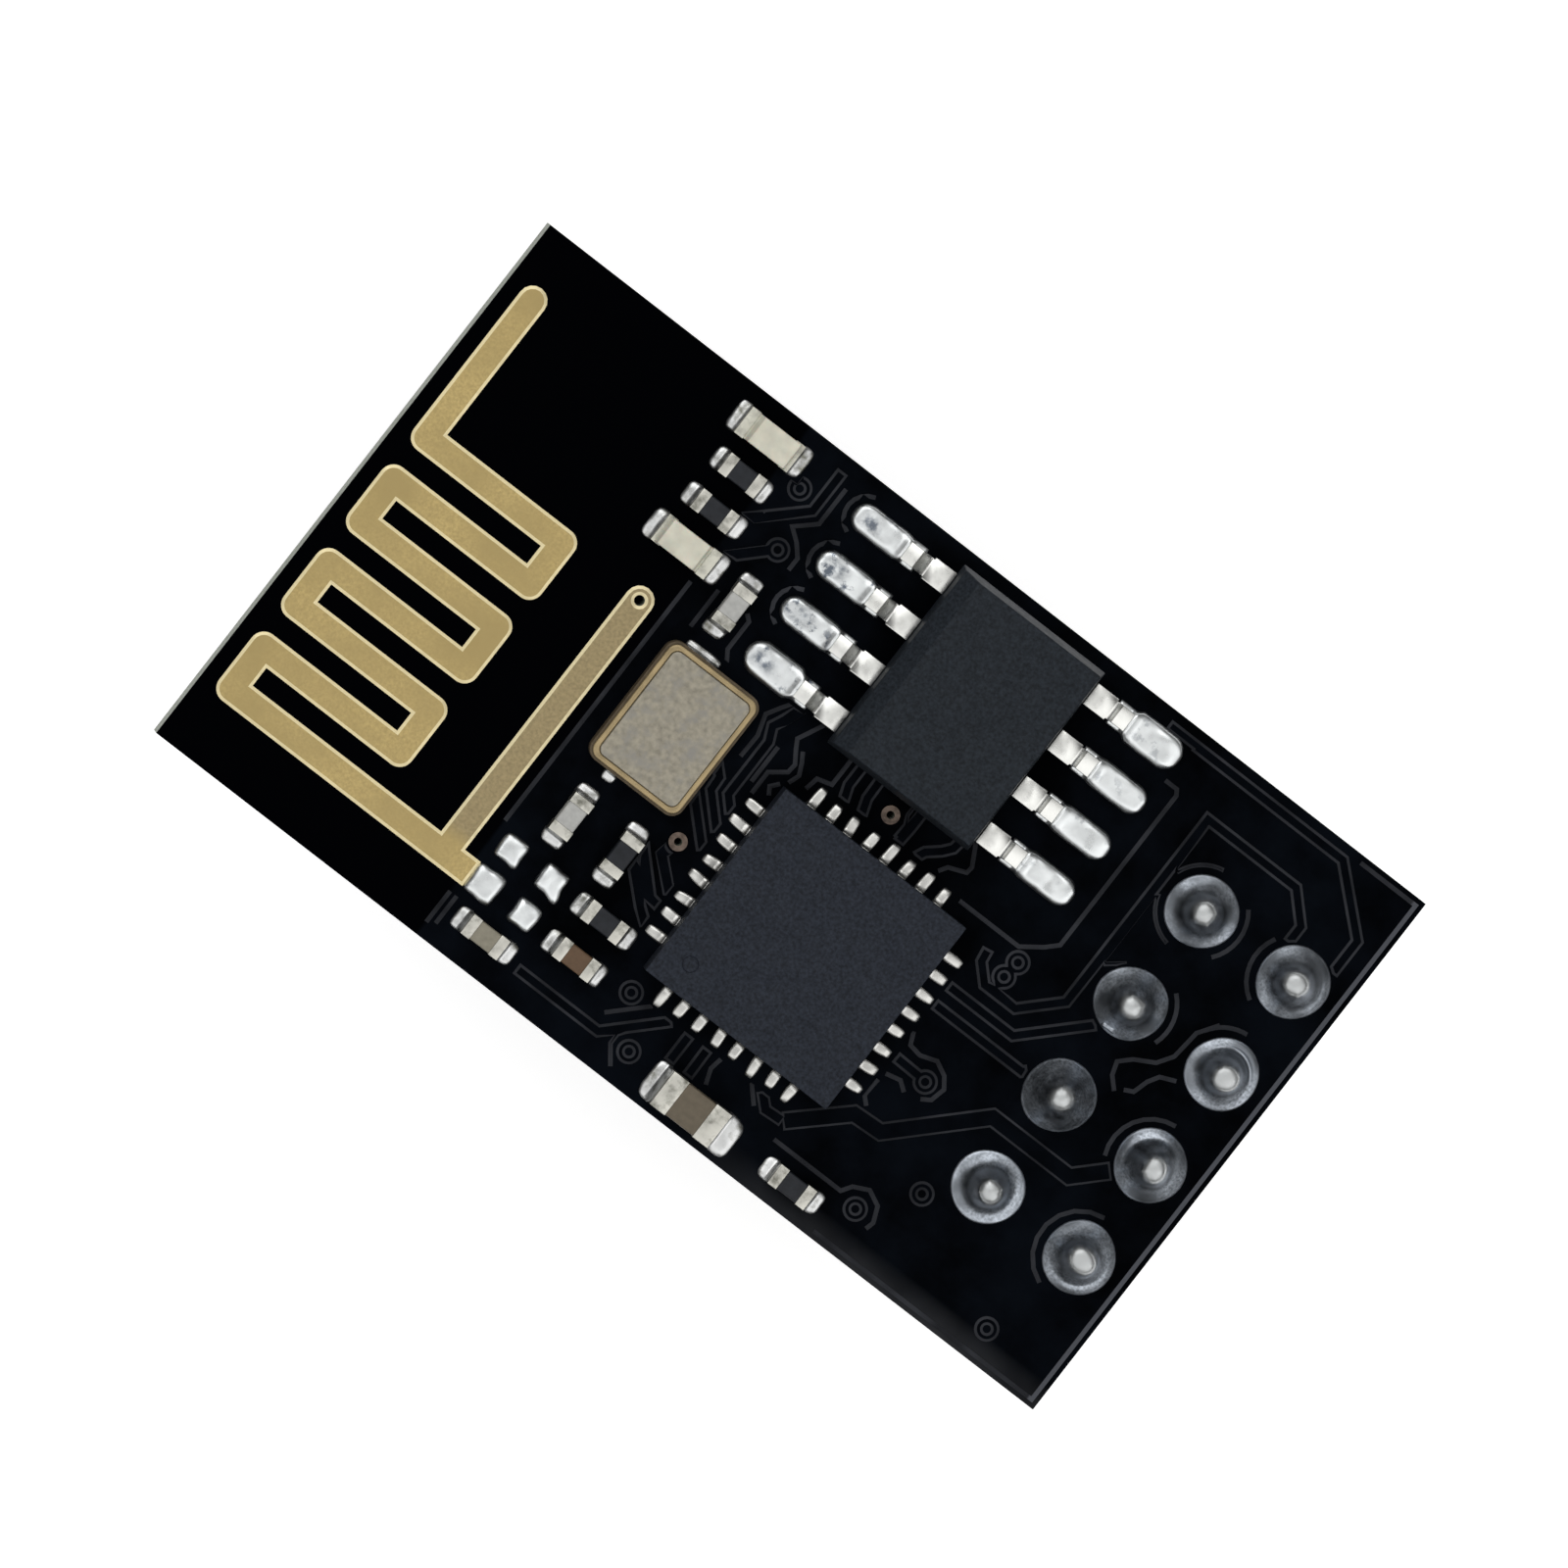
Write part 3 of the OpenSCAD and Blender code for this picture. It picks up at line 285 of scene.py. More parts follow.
def mask_finish():
    """Dark coating, a little lighter over the copper areas, with a painted sheen along one long edge and
    the laminate on the cut sides.
    """
    look = colours()
    copper_starts = (-14.62, -14.54)
    sheen_across = (-6.4, -6.95)
    sheen_along = (-7.5, -2.5)
    coat_depth = (0.06, 0.035)
    finish = Finish("solder_mask", look.mask, roughness=0.40, specular=0.006)
    copper = finish.spread(finish.axis("X"), *copper_starts)
    cloud = finish.spread(finish.noise(0.45, 5.0, 0.6), 0.36, 0.64)
    pour = finish.mix(cloud, shade(look.mask_pour, 0.3), shade(look.mask_pour, 1.5))
    face = finish.mix(copper, look.mask, pour)
    # Painted sheen: a lighter band of mask along one long edge and part of its length, broken up by noise
    edge_sheen = finish.combine("MULTIPLY", finish.spread(finish.axis("Y"), *sheen_across),
                            finish.spread(finish.axis("X"), *sheen_along))
    edge_sheen = finish.combine("MULTIPLY", edge_sheen, finish.spread(finish.noise(0.5), *SOFT, 0.3, 1.0))
    face = finish.mix(edge_sheen, face, look.mask_sheen)
    grain = finish.spread(finish.noise(9.0, 5.0, 0.7), *CLEAR)
    fibre = finish.mix(grain, shade(look.laminate, 0.62), look.laminate)
    coat = finish.height(TOP - coat_depth[0], TOP - coat_depth[1])
    side = finish.mix(coat, fibre, shade(look.laminate, 0.25))
    geometry = finish.nodes.new("ShaderNodeNewGeometry")
    level = finish.combine("ABSOLUTE", finish.axis("Z", geometry.outputs["True Normal"]), 0.0)
    finish.paint(finish.mix(finish.spread(level, 0.3, 0.6), side, face))
    finish.wear(0.8, 0.07)
    finish.bump(((3.0, 0.0012), (14.0, 0.0008)))
    return finish.material


def track_finish():
    """Dark coating over the tracks, with a painted highlight on their sloping edges and over the thin
    lines, brighter by the pins' edge.
    """
    look = colours()
    highlight_border_starts = (2.25, 2.3)
    below_top = (0.004, 0.001)
    finish = Finish("mask_over_copper", look.mask_pour, roughness=0.40, specular=0.006)
    top = finish.mottle(2.0, 0.3)
    # Painted highlight: a lighter colour on the tracks' slopes and on the thin lines, where their relief
    # would catch the light
    patches = finish.spread(finish.noise(0.9), *CLEAR)
    thin = finish.mix(patches, shade(look.mask_edge_highlight, 0.45), look.mask_edge_highlight)
    # Painted highlight made brighter along the border by the pins' edge
    border = finish.spread(finish.axis("X"), *highlight_border_starts)
    thin = finish.mix(border, thin, shade(look.mask_edge_highlight, 2.2))
    crest = finish.height(TRACK_TOP - below_top[0], TRACK_TOP - below_top[1])
    broad = finish.combine("MULTIPLY", finish.upright(0.93, 0.995), crest)
    finish.paint(finish.mix(broad, thin, top))
    finish.bump(((6.0, 0.001), (16.0, 0.0008)))
    return finish.material


def gold_finish():
    """Matt gold with a fine grain, a painted highlight on its rounded edge and a duller stub."""
    look = colours()
    stub_along = (-15.66, -15.52)
    stub_across = (-4.95, -4.6)
    finish = Finish("antenna_gold", look.gold, metallic=0.55, roughness=0.45)
    plate = finish.mottle(17.0, 0.16, 6.0)
    stub = finish.combine("MULTIPLY", finish.spread(finish.axis("X"), *stub_along),
                          finish.spread(finish.axis("Y"), *stub_across))
    grain = finish.spread(finish.noise(13.0, 6.0), *SOFT)
    dulled = finish.mix(grain, shade(look.gold_dull, 0.7), look.gold_dull)
    cloud = finish.spread(finish.noise(0.6), *CLEAR)
    face = finish.mix(stub, finish.mix(cloud, plate, shade(look.gold, 0.84)), dulled)
    # Painted highlight: the rounded edge, where faces turn away from straight up, takes a pale gold colour
    finish.paint(finish.mix(finish.upright(0.93, 0.99), look.gold_rim_highlight, face))
    finish.wear(6.0, 0.1)
    finish.bump(((14.0, 0.0012), (40.0, 0.0008)))
    return finish.material


def metal_finish(name, colour, roughness, relief=0.001, scale=5.0, metallic=1.0, depth=0.10, stain=None):
    """Plated or soldered metal with light and dark patches, stained in places where asked."""
    finish = Finish(name, colour, metallic=metallic, roughness=roughness)
    clean = finish.mottle(scale, depth, 5.0)
    if stain:
        stained = finish.spread(finish.noise(2.4, 5.0, 0.65), 0.48, 0.68)
        finish.paint(finish.mix(stained, clean, stain))
    finish.wear(scale, roughness * 0.3)
    finish.bump(((scale, relief), (scale * 4, relief * 0.3)))
    return finish.material


def moulded_finish(name, colour, grain=24.0, relief=0.002, roughness=0.55, specular=0.12, depth=0.20):
    """Moulded or fired material with an even grain."""
    finish = Finish(name, colour, roughness=roughness, specular=specular)
    finish.mottle(grain * 0.6, depth, 6.0)
    finish.wear(2.0, 0.08)
    finish.bump(((grain, relief), (grain * 0.3, relief)))
    return finish.material


def pool_finish(row, pitch, front):
    """Bright solder with dark flecks of flux, and dark smudges on the pads beside the crystal that are
    partly flux and partly painted shade for the greyer middle of the domes.

    The smudges lie along the middle of each pad: row is the first pad's middle, pitch the distance
    to the next one and front the pads' end.
    """
    look = colours()
    header_side, crystal_side = -4.0, -11.0
    finish = Finish("pool_solder", look.solder, metallic=1.0, roughness=0.34)
    shine = finish.mottle(2.5, 0.10, 5.0)
    fleck = finish.combine("MULTIPLY", finish.spread(finish.noise(3.2, 5.0, 0.62), 0.54, 0.63),
                           finish.spread(finish.noise(1.1), 0.46, 0.56))
    fleck = finish.combine("MULTIPLY", fleck,
                           finish.spread(finish.axis("X"), header_side, crystal_side, 0.35, 1.0))
    offset = finish.combine("PINGPONG", finish.combine("SUBTRACT", finish.axis("Y"), row), pitch / 2)
    # Partly flux and partly painted shade: dark smudges along the middle of each pad darken the middle of
    # the domes
    smudge_and_shade = finish.combine("MULTIPLY", finish.spread(offset, 0.24, 0.10),
                            finish.spread(finish.noise(3.0, 5.0, 0.65), 0.42, 0.60, 0.16, 0.95))
    for start, full in ((0.10, 0.30), (0.85, 0.55)):
        fade = finish.spread(finish.axis("X"), front + start, front + full)
        smudge_and_shade = finish.combine("MULTIPLY", smudge_and_shade, fade)
    finish.paint(finish.mix(smudge_and_shade, finish.mix(fleck, shine, look.flux), look.flux))
    finish.wear(2.5, 0.1)
    finish.bump(((2.5, 0.0004), (10.0, 0.0001)))
    return finish.material


def joint_finish():
    """Dull solder on the skirts, with a painted highlight as a paler colour on their steep rims and as a
    brighter colour on the tips.
    """
    look = colours()
    rim_highlight_height = (0.035, 0.06)
    tip_highlight_height = (0.70, 0.88)
    finish = Finish("joint_metal", look.joint, metallic=1.0, roughness=0.42)
    skirt = finish.mottle(17.0, 0.42, 4.0)
    dark = finish.spread(finish.noise(1.3, 2.0), 0.42, 0.62)
    skirt = finish.mix(dark, skirt, shade(look.joint, 0.5))
    # Painted highlight: steep faces and the low rim of the skirt take a paler colour
    pale = shade(look.joint, 1.5)
    skirt = finish.mix(finish.upright(0.3, 0.5), pale, skirt)
    skirt = finish.mix(finish.height(TOP + rim_highlight_height[0], TOP + rim_highlight_height[1]), pale, skirt)
    # Painted highlight: the tip above the pin takes a brighter solder colour
    tip = finish.height(TOP + tip_highlight_height[0], TOP + tip_highlight_height[1])
    finish.paint(finish.mix(tip, skirt, shade(look.solder, 0.70)))
    finish.wear(4.0, 0.1)
    finish.bump(((3.0, 0.002), (12.0, 0.0006)))
    return finish.material


def pin_finish():
    """Gold plating below the board, tinned by the joint above it."""
    look = colours()
    finish = Finish("pin_plating", look.gold, metallic=1.0, roughness=0.28)
    plate = finish.mottle(3.0, 0.12)
    finish.paint(finish.mix(finish.height(TOP - 0.1, TOP), plate, look.solder))
    finish.wear(5.0, 0.1)
    finish.bump(((7.0, 0.0006), (20.0, 0.0003)))
    return finish.material


def lens_finish():
    """Cast lens that lets a little light in."""
    finish = Finish("lamp_lens", colours().lens, roughness=0.35, specular=0.3)
    finish.shader.inputs["Subsurface Weight"].default_value = 0.15
    finish.shader.inputs["Subsurface Scale"].default_value = 0.2 * MM
    finish.mottle(2.5, 0.12)
    finish.wear(3.0, 0.08)
    finish.bump(((4.0, 0.002), (18.0, 0.0012)))
    return finish.material


def join(piece, name):
    """Joins points of a piece that lie on each other."""
    weld = piece.modifiers.new(name, "WELD")
    weld.merge_threshold = SAME_POINT * MM


def dress(name, material, width=0.0, segments=2):
    """Gives a solid its finish, with rounded edges from modifiers."""
    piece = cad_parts[name]
    piece.data.materials.clear()
    piece.data.materials.append(material)
    if width > 0:
        join(piece, "Joined corners")
        flats = piece.modifiers.new("Whole flats", "DECIMATE")
        flats.decimate_type = "DISSOLVE"
        flats.angle_limit = SAME_FLAT
        edge = piece.modifiers.new("Rounded edges", "BEVEL")
        edge.width = width
        edge.segments = segments
        edge.limit_method = "ANGLE"
        edge.angle_limit = math.radians(35)
        edge.miter_outer = "MITER_ARC"
        join(piece, "Joined facets")
        smooth = piece.modifiers.new("Even shading", "WEIGHTED_NORMAL")
        smooth.weight = 80
    return piece


def finish_piece(name, shape, material, replaced, smooth=True):
    """Makes an object of a mesh built in millimetres, in place of a solid."""
    mesh = bpy.data.meshes.new(name)
    bmesh.ops.recalc_face_normals(shape, faces=shape.faces)
    bmesh.ops.scale(shape, vec=(MM, MM, MM), verts=shape.verts)
    shape.to_mesh(mesh)
    shape.free()
    mesh.materials.append(material)
    for face in mesh.polygons:
        face.use_smooth = smooth
    piece = bpy.data.objects.new(name, mesh)
    bpy.context.scene.collection.objects.link(piece)
    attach(piece, BODY)
    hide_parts(replaced)
    return piece


def recast(name, flats=True):
    """A solid's mesh in millimetres, with its flats whole where asked."""
    shape = bmesh.new()
    shape.from_mesh(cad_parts[name].data)
    bmesh.ops.scale(shape, vec=(1 / MM, 1 / MM, 1 / MM), verts=shape.verts)
    bmesh.ops.remove_doubles(shape, verts=shape.verts, dist=SAME_POINT)
    if flats:
        bmesh.ops.dissolve_limit(shape, angle_limit=SAME_FLAT, verts=shape.verts, edges=shape.edges)
    return shape


def groups(shape):
    """The points of each separate solid of a mesh."""
    left = dict.fromkeys(shape.verts)
    found = []
    while left:
        stack = [left.popitem()[0]]
        group = []
        while stack:
            vert = stack.pop()
            group.append(vert)
            for edge in vert.link_edges:
                other = edge.other_vert(vert)
                if other in left:
                    del left[other]
                    stack.append(other)
        found.append(group)
    return found


def islands(name):
    """Low and high corners of each separate solid of a node, in millimetres."""
    shape = recast(name)
    found = []
    for group in groups(shape):
        low = Vector([min(v.co[i] for v in group) for i in range(3)])
        high = Vector([max(v.co[i] for v in group) for i in range(3)])
        found.append((low, high))
    shape.free()
    return sorted(found, key=lambda b: (round(b[0].x, 3), round(b[0].y, 3)))


def outlines(faces):
    """Corner points of the edges round a flat set of faces, each loop with the faces on its left."""
    step = {}
    for face in faces:
        for loop in face.loops:
            if all(other is face or other not in faces for other in loop.edge.link_faces):
                step[loop.vert] = loop.link_loop_next.vert
    found = []
    while step:
        start, vert = step.popitem()
        ring = [start.co.xy]
        while vert is not start:
            ring.append(vert.co.xy)
            vert = step.pop(vert)
        found.append(ring)
    return found


def drawn_in(rings, width):
    """Loops of points moved to their left by a width, or by nearly half of the strip where it is thin."""
    sharpest = 0.35
    look_ahead = 2.2
    nearly_half = 0.47
    least_edge = 0.05
    points = [at for ring in rings for at in ring]
    after = []
    for ring in rings:
        start = len(after)
        after += [start + (i + 1) % len(ring) for i in range(len(ring))]
    before = {k: i for i, k in enumerate(after)}
    ways = []
    for i, at in enumerate(points):
        along = (at - points[before[i]]).normalized()
        onward = (points[after[i]] - at).normalized()
        left = along + onward
        ways.append(Vector((-left.y, left.x)) * (width / max(sharpest, 1 + along.dot(onward))))
    room = [math.inf] * len(points)
    for i, at in enumerate(points):
        for a, b in enumerate(after):
            if i in (a, b):
                continue
            hit = intersect_line_line_2d(at, at + look_ahead * ways[i], points[a], points[b])
            if hit:
                for k in (i, a, b):
                    room[k] = min(room[k], (hit - at).length)
    steps = [way * min(1.0, nearly_half * gap / way.length) for way, gap in zip(ways, room)]
    turned = True
    while turned:
        turned = False
        for i, k in enumerate(after):
            edge = points[k] - points[i]
            if (edge + steps[k] - steps[i]).dot(edge) < least_edge * edge.length_squared:
                steps[i] *= 0.8
                steps[k] *= 0.8
                turned = True
    moved = iter([at + step for at, step in zip(points, steps)])
    return [[next(moved) for _ in ring] for ring in rings]


def fill(loops):
    """Triangles that fill flat loops, as numbers of their points, and the share of area they leave out."""
    points = [at for loop in loops for at in loop]
    corners = tessellate_polygon([[at.to_3d() for at in loop] for loop in loops])
    inside = sum(loop[i].cross(at) / 2 for loop in loops for i, at in enumerate(loop, -1))
    covered = sum(area_tri(*[points[i] for i in triangle]) for triangle in corners)
    return corners, abs(1 - covered / inside)


def sloped(name, width, drop, crumb=0.04, thin=0.13, dip=0.006):
    """A flat node's strips with sloping edges: each top draws in by width and its rim sinks by drop.

    Strips narrower than thin become ridges that lie lower by dip. Strips with a smaller area than
    crumb are left out.
    """
    flat = recast(name, False)
    shape = bmesh.new()
    high = max(v.co.z for v in flat.verts)
    low = min(v.co.z for v in flat.verts)
    for group in groups(flat):
        tops = dict.fromkeys(f for v in group for f in v.link_faces if f.normal.z > 0.9)
        area = sum(f.calc_area() for f in tops)
        if area < crumb:
            continue
        rings = outlines(tops)
        border = sum((at - ring[i]).length for ring in rings for i, at in enumerate(ring, -1))
        crest = high - dip if 2 * area / border < thin else high
        slope = width
        inner = drawn_in(rings, slope)
        while fill(inner)[1] > 0.01:
            slope *= 0.9
            inner = drawn_in(rings, slope)
        levels = []
        for loops, z in ((rings, low), (rings, high - drop), (inner, crest)):
            levels.append([[shape.verts.new((at.x, at.y, z)) for at in loop] for loop in loops])
        for below, above in zip(levels, levels[1:]):
            for lower, upper in zip(below, above):
                for i in range(len(lower)):
                    k = (i + 1) % len(lower)
                    shape.faces.new((lower[i], lower[k], upper[k], upper[i]))
        for level, loops in ((levels[0], rings), (levels[2], inner)):
            verts = [v for loop in level for v in loop]
            for corners in fill(loops)[0]:
                shape.faces.new([verts[i] for i in corners])
    flat.free()
    return shape


def sheet(shape, rows):
    """Makes a solid of a grid of upper points and its flat base on the board."""
    low = [[shape.verts.new((v.co.x, v.co.y, TOP)) for v in row] for row in rows]
    for grid, flip in ((rows, False), (low, True)):
        for i in range(len(rows) - 1):
            for j in range(len(rows[0]) - 1):
                loop = [grid[i][j], grid[i + 1][j], grid[i + 1][j + 1], grid[i][j + 1]]
                shape.faces.new(loop[::-1] if flip else loop)
    edge = [rows[0], [r[-1] for r in rows], rows[-1], [r[0] for r in rows]]
    foot = [low[0], [r[-1] for r in low], low[-1], [r[0] for r in low]]
    for upper, lower in zip(edge, foot):
        for k in range(len(upper) - 1):
            shape.faces.new((upper[k], upper[k + 1], lower[k + 1], lower[k]))


def part_of(value):
    """A value kept between 0 and 1."""
    return min(1.0, max(0.0, value))


def bell(distance, width):
    """A smooth hump of height 1 that fades over a width."""
    return math.exp(-((distance / width) ** 2))


def rounded(share, power):
    """Height that goes from 1 in the middle to 0 at share 1, squarer with a higher power."""
    return math.sqrt(max(0.0, 1 - abs(share) ** power))


def across_share(j, count):
    """Place of a point across a strip, from -1 to 1, with the points closer near its edges."""
    return math.sin(math.pi / 2 * (-1 + 2 * j / count))


def ripple(x, y, phase, depth):
    """Small uneven height of a solder surface."""
    waves = 2.6
    return depth * noise.noise(Vector((x * waves, y * waves, phase)))


def capped(shape, rows, peak):
    """Joins rings of points into a closed form, from its flat base up to its peak."""
    count = len(rows[0])
    for lower, upper in zip(rows, rows[1:]):
        for j in range(count):
            k = (j + 1) % count
            shape.faces.new((lower[j], lower[k], upper[k], upper[j]))
    for j in range(count):
        shape.faces.new((rows[-1][j], rows[-1][(j + 1) % count], peak))
    shape.faces.new(rows[0][::-1])


def patch(shape, at, turn, reach, width, rise, draw, film=0.08, climb=0.10, steps=(14, 14)):
    """Adds solder on a pad: a rounded film that climbs to height rise on a part's end at x = 0."""
    along, across = steps
    taper_from, round_from = 0.3, 0.45
    place = Matrix.Translation(at) @ Matrix.Rotation(turn, 4, "Z")
    reach = reach * draw.uniform(0.84, 1.04)
    rise = rise * draw.uniform(0.85, 1.05)
    phase = draw.uniform(0, 50)
    tilt = draw.uniform(-0.10, 0.10)
    taper = draw.uniform(0.04, 0.26)
    lean = draw.uniform(-0.10, 0.10)
    rows = []
    for i in range(along + 1):
        x = reach * (0.5 - 0.5 * math.cos(math.pi * i / along))
        run = x / reach
        end = rounded(run, 5)
        half = width / 2 * (1 - taper * max(0.0, (run - taper_from) / (1 - taper_from)) ** 2)
        half *= math.sqrt(1 - 0.6 * max(0.0, (run - round_from) / (1 - round_from)) ** 6)
        body = film + (rise - film) * max(0.0, 1 - x / climb) ** 2
        row = []
        for j in range(across + 1):
            t = across_share(j, across)
            y = t * half + lean * x
            z = (body + tilt * y + ripple(x, y, phase, 0.03)) * rounded(t, 5) * end
            row.append(shape.verts.new(place @ Vector((x, y, max(z, 0.0)))))
        rows.append(row)
    sheet(shape, rows)


def pool(shape, at, turn, reach, width, neck, height, draw, under=0.42, steps=(40, 16)):
    """Adds a long solder dome with a round front, which narrows and climbs to the lead's toe at x = 0."""
    along, across = steps
    film = 0.06
    shoulder = 0.16
    crown_share = 0.66
    climb, climb_width = 0.10, 0.13
    dent_at, dent_width = 0.6, 0.14
    dent_side, dent_across = 0.1, 0.28
    place = Matrix.Translation(at) @ Matrix.Rotation(turn, 4, "Z")
    phase = draw.uniform(0, 50)
    hollow = draw.uniform(0.0, 0.02)
    rows = []
    for i in range(along + 1):
        x = -under + (reach + under) * math.sin(i / along * math.pi / 2)
        swell = part_of(x / shoulder)
        half = neck / 2 + (width - neck) / 2 * swell * swell * (3 - 2 * swell)
        front = 0.0
        if x > reach - half:
            front = min(1.0, (x - reach + half) / half)
            half *= math.sqrt(max(0.0, 1 - front * front))
        crown = film if x < 0 else height * crown_share + climb * bell(x, climb_width)
        dent = hollow * bell(x - reach * dent_at, dent_width)
        row = []
        for j in range(across + 1):
            t = across_share(j, across)
            z = (crown + ripple(x, t * half, phase, 0.03)) * rounded(t, 6)
            z -= dent * bell(t - dent_side, dent_across)
            z *= rounded(front, 6)
            row.append(shape.verts.new(place @ Vector((x, t * half, max(z, 0.0)))))
        rows.append(row)
    sheet(shape, rows)


def bead(shape, centre, size, draw, pull=(0.0, 0.0), rings=9, points=48):
    """Adds a flat-topped, squarish solder dome on a bare pad, drawn out in the direction of pull."""
    squareness = 7
    lumps = 0.02
    pull_width = 0.45
    phase = [draw.uniform(0, 6.28) for _ in range(3)]
    rows = []
    for i in range(rings):
        share = math.cos(i / rings * math.pi / 2)
        row = []
        for j in range(points):
            a = 2 * math.pi * j / points
            box = (abs(math.cos(a)) ** squareness + abs(math.sin(a)) ** squareness) ** (-1 / squareness)
            lump = 1 + lumps * math.sin(3 * a + phase[0]) + lumps * math.sin(5 * a + phase[1])
            turned = (a - pull[0] + math.pi) % (2 * math.pi) - math.pi
            lump += pull[1] * bell(turned, pull_width)
            reach = 0.5 * box * lump * share
            x = size.x * reach * math.cos(a)
            y = size.y * reach * math.sin(a)
            z = size.z * rounded(share, 6) * (0.9 + 0.1 * math.sin(a + phase[2]) * share)
            if i > 0:
                z += ripple(x, y, phase[0], 0.02)
            row.append(shape.verts.new((centre.x + x, centre.y + y, TOP + z)))
        rows.append(row)
    peak = shape.verts.new((centre.x, centre.y, TOP + size.z * 0.9))
    capped(shape, rows, peak)


def joint_profile(radius, lift, tip):
    """Radius and height of a joint's rings: the plug, the rim, the hollow skirt and the cap.

    The skirt goes from a hollow curve to a straight cone as lift goes from 0 to 1. The part round the
    pin is wider for a higher tip.
    """
    plug, foot, neck = 0.47, 0.79, 0.41
    profile = [(plug, LOW - TOP), (plug, -0.02), (radius, 0.0), (radius * 0.99, RIM)]
    skirt = [(foot - 0.38 * s, 0.05 + 0.10 * s + 0.26 * s ** 4) for s in [i / 12 for i in range(13)]]
    skirt += [(0.37, 0.56), (0.33, 0.68), (0.285, 0.80)]
    for r, z in skirt:
        cone = 0.05 + (foot - r) * 1.5
        profile.append((r if r > neck else neck - (neck - r) / tip, z + lift * (cone - z)))
    for r, z in ((0.24, 0.875), (0.18, 0.91), (0.10, 0.925)):
        profile.append((neck - (neck - r) / tip, z))
    return profile


def over_pin(x, y, z):
    """A point of a joint moved out, where need be, so that the corners of the pin's tip stay covered."""
    if not 0.2 < z < 0.88:
        return x, y
    nose = 0.345 - 0.15 * part_of((z - 0.31) / 0.55)
    cover = max(1.0, nose * (x ** 8 + y ** 8) ** (-1 / 8))
    return x * cover, y * cover


def joint(shape, centre, radius, style, draw, points=48):
    """Adds a solder joint: a plug in the pin's hole, a skirt on the board and a cap on the pin's tip."""
    lift, crease, side, tip = style
    even, shoulder = 0.5, 0.4
    crease_at, crease_width = 0.6, 0.07
    phase = [draw.uniform(0, 6.28) for _ in range(3)]
    profile = joint_profile(radius, lift, tip)
    stray = Vector((draw.uniform(-0.035, 0.035), draw.uniform(-0.035, 0.035)))
    oval = draw.uniform(-0.12, 0.12)
    rows = []
    for r, z in profile:
        skirt = max(0.0, (r - even) / (radius - even)) if z >= 0 else 0.0
        rise = part_of((z - shoulder) / shoulder)
        row = []
        for j in range(points):
            a = 2 * math.pi * j / points
            lump = 1 + skirt * (0.015 * math.sin(2 * a + phase[0]) + 0.012 * math.sin(3 * a + phase[1]))
            lump *= 1 + rise * oval * math.sin(2 * a + phase[1])
            x, y = over_pin(r * lump * math.cos(a) + stray.x * rise,
                            r * lump * math.sin(a) + stray.y * rise, z)
            uneven = 0.0
            if z > RIM:
                swell = math.sin(math.pi * part_of((radius - r) / (radius - 0.3)))
                uneven = swell * ripple(x, y, phase[2], 0.03)
                uneven -= crease * bell(r - crease_at, crease_width) * max(0.0, math.cos(a - side))
            height = max(z + uneven, min(z, RIM))
            row.append(shape.verts.new((centre.x + x, centre.y + y, TOP + height)))
        rows.append(row)
    peak = shape.verts.new((centre.x, centre.y, TOP + 0.93))
    capped(shape, rows, peak)


def closed(shape):
    """Joins the corners of added patches and drops their empty faces."""
    joined, empty = 0.0008, 0.0004
    bmesh.ops.remove_doubles(shape, verts=shape.verts, dist=joined)
    bmesh.ops.dissolve_degenerate(shape, edges=shape.edges, dist=empty)


def box_mm(name):
    """Low and high corners of a node, in millimetres."""
    low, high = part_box(name)
    return low / MM, high / MM


def facing(part_low, part_high, away):
    """Point and turn of the side wall of a box that faces a direction."""
    wall = (part_low + part_high) / 2
    half = (part_high - part_low) / 2
    wall.z = TOP
    if abs(away.x) > abs(away.y):
        wall.x += math.copysign(half.x, away.x)
        return wall, 0.0 if away.x > 0 else math.pi
    wall.y += math.copysign(half.y, away.y)
    return wall, math.copysign(math.pi / 2, away.y)


class MODULE_OT_board(bpy.types.Operator):
    """Finishes the board with its covered tracks, antenna and vias"""
    bl_idname = "module.board"
    bl_label = "Board and antenna"

    def execute(self, context):
        size = sizes()
        dress("circuit_board", mask_finish())
        covered = track_finish()
        tracks = sloped("signal_tracks", size.track_slope / MM, drop=0.028)
        finish_piece("covered_tracks", tracks, covered, "signal_tracks", smooth=False)
        join(dress("under_tracks", covered), "Joined corners")
        strip = sloped("antenna", size.antenna_slope / MM, drop=0.022)
        finish_piece("antenna_strip", strip, gold_finish(), "antenna", smooth=False)
        copper = colours().copper
        worn = metal_finish("bare_copper", copper, 0.4, relief=0.002, scale=6.0, metallic=0.8, depth=0.4,
                            stain=shade(copper, 0.25))
        dress("bare_via_rings", worn)
        return {"FINISHED"}


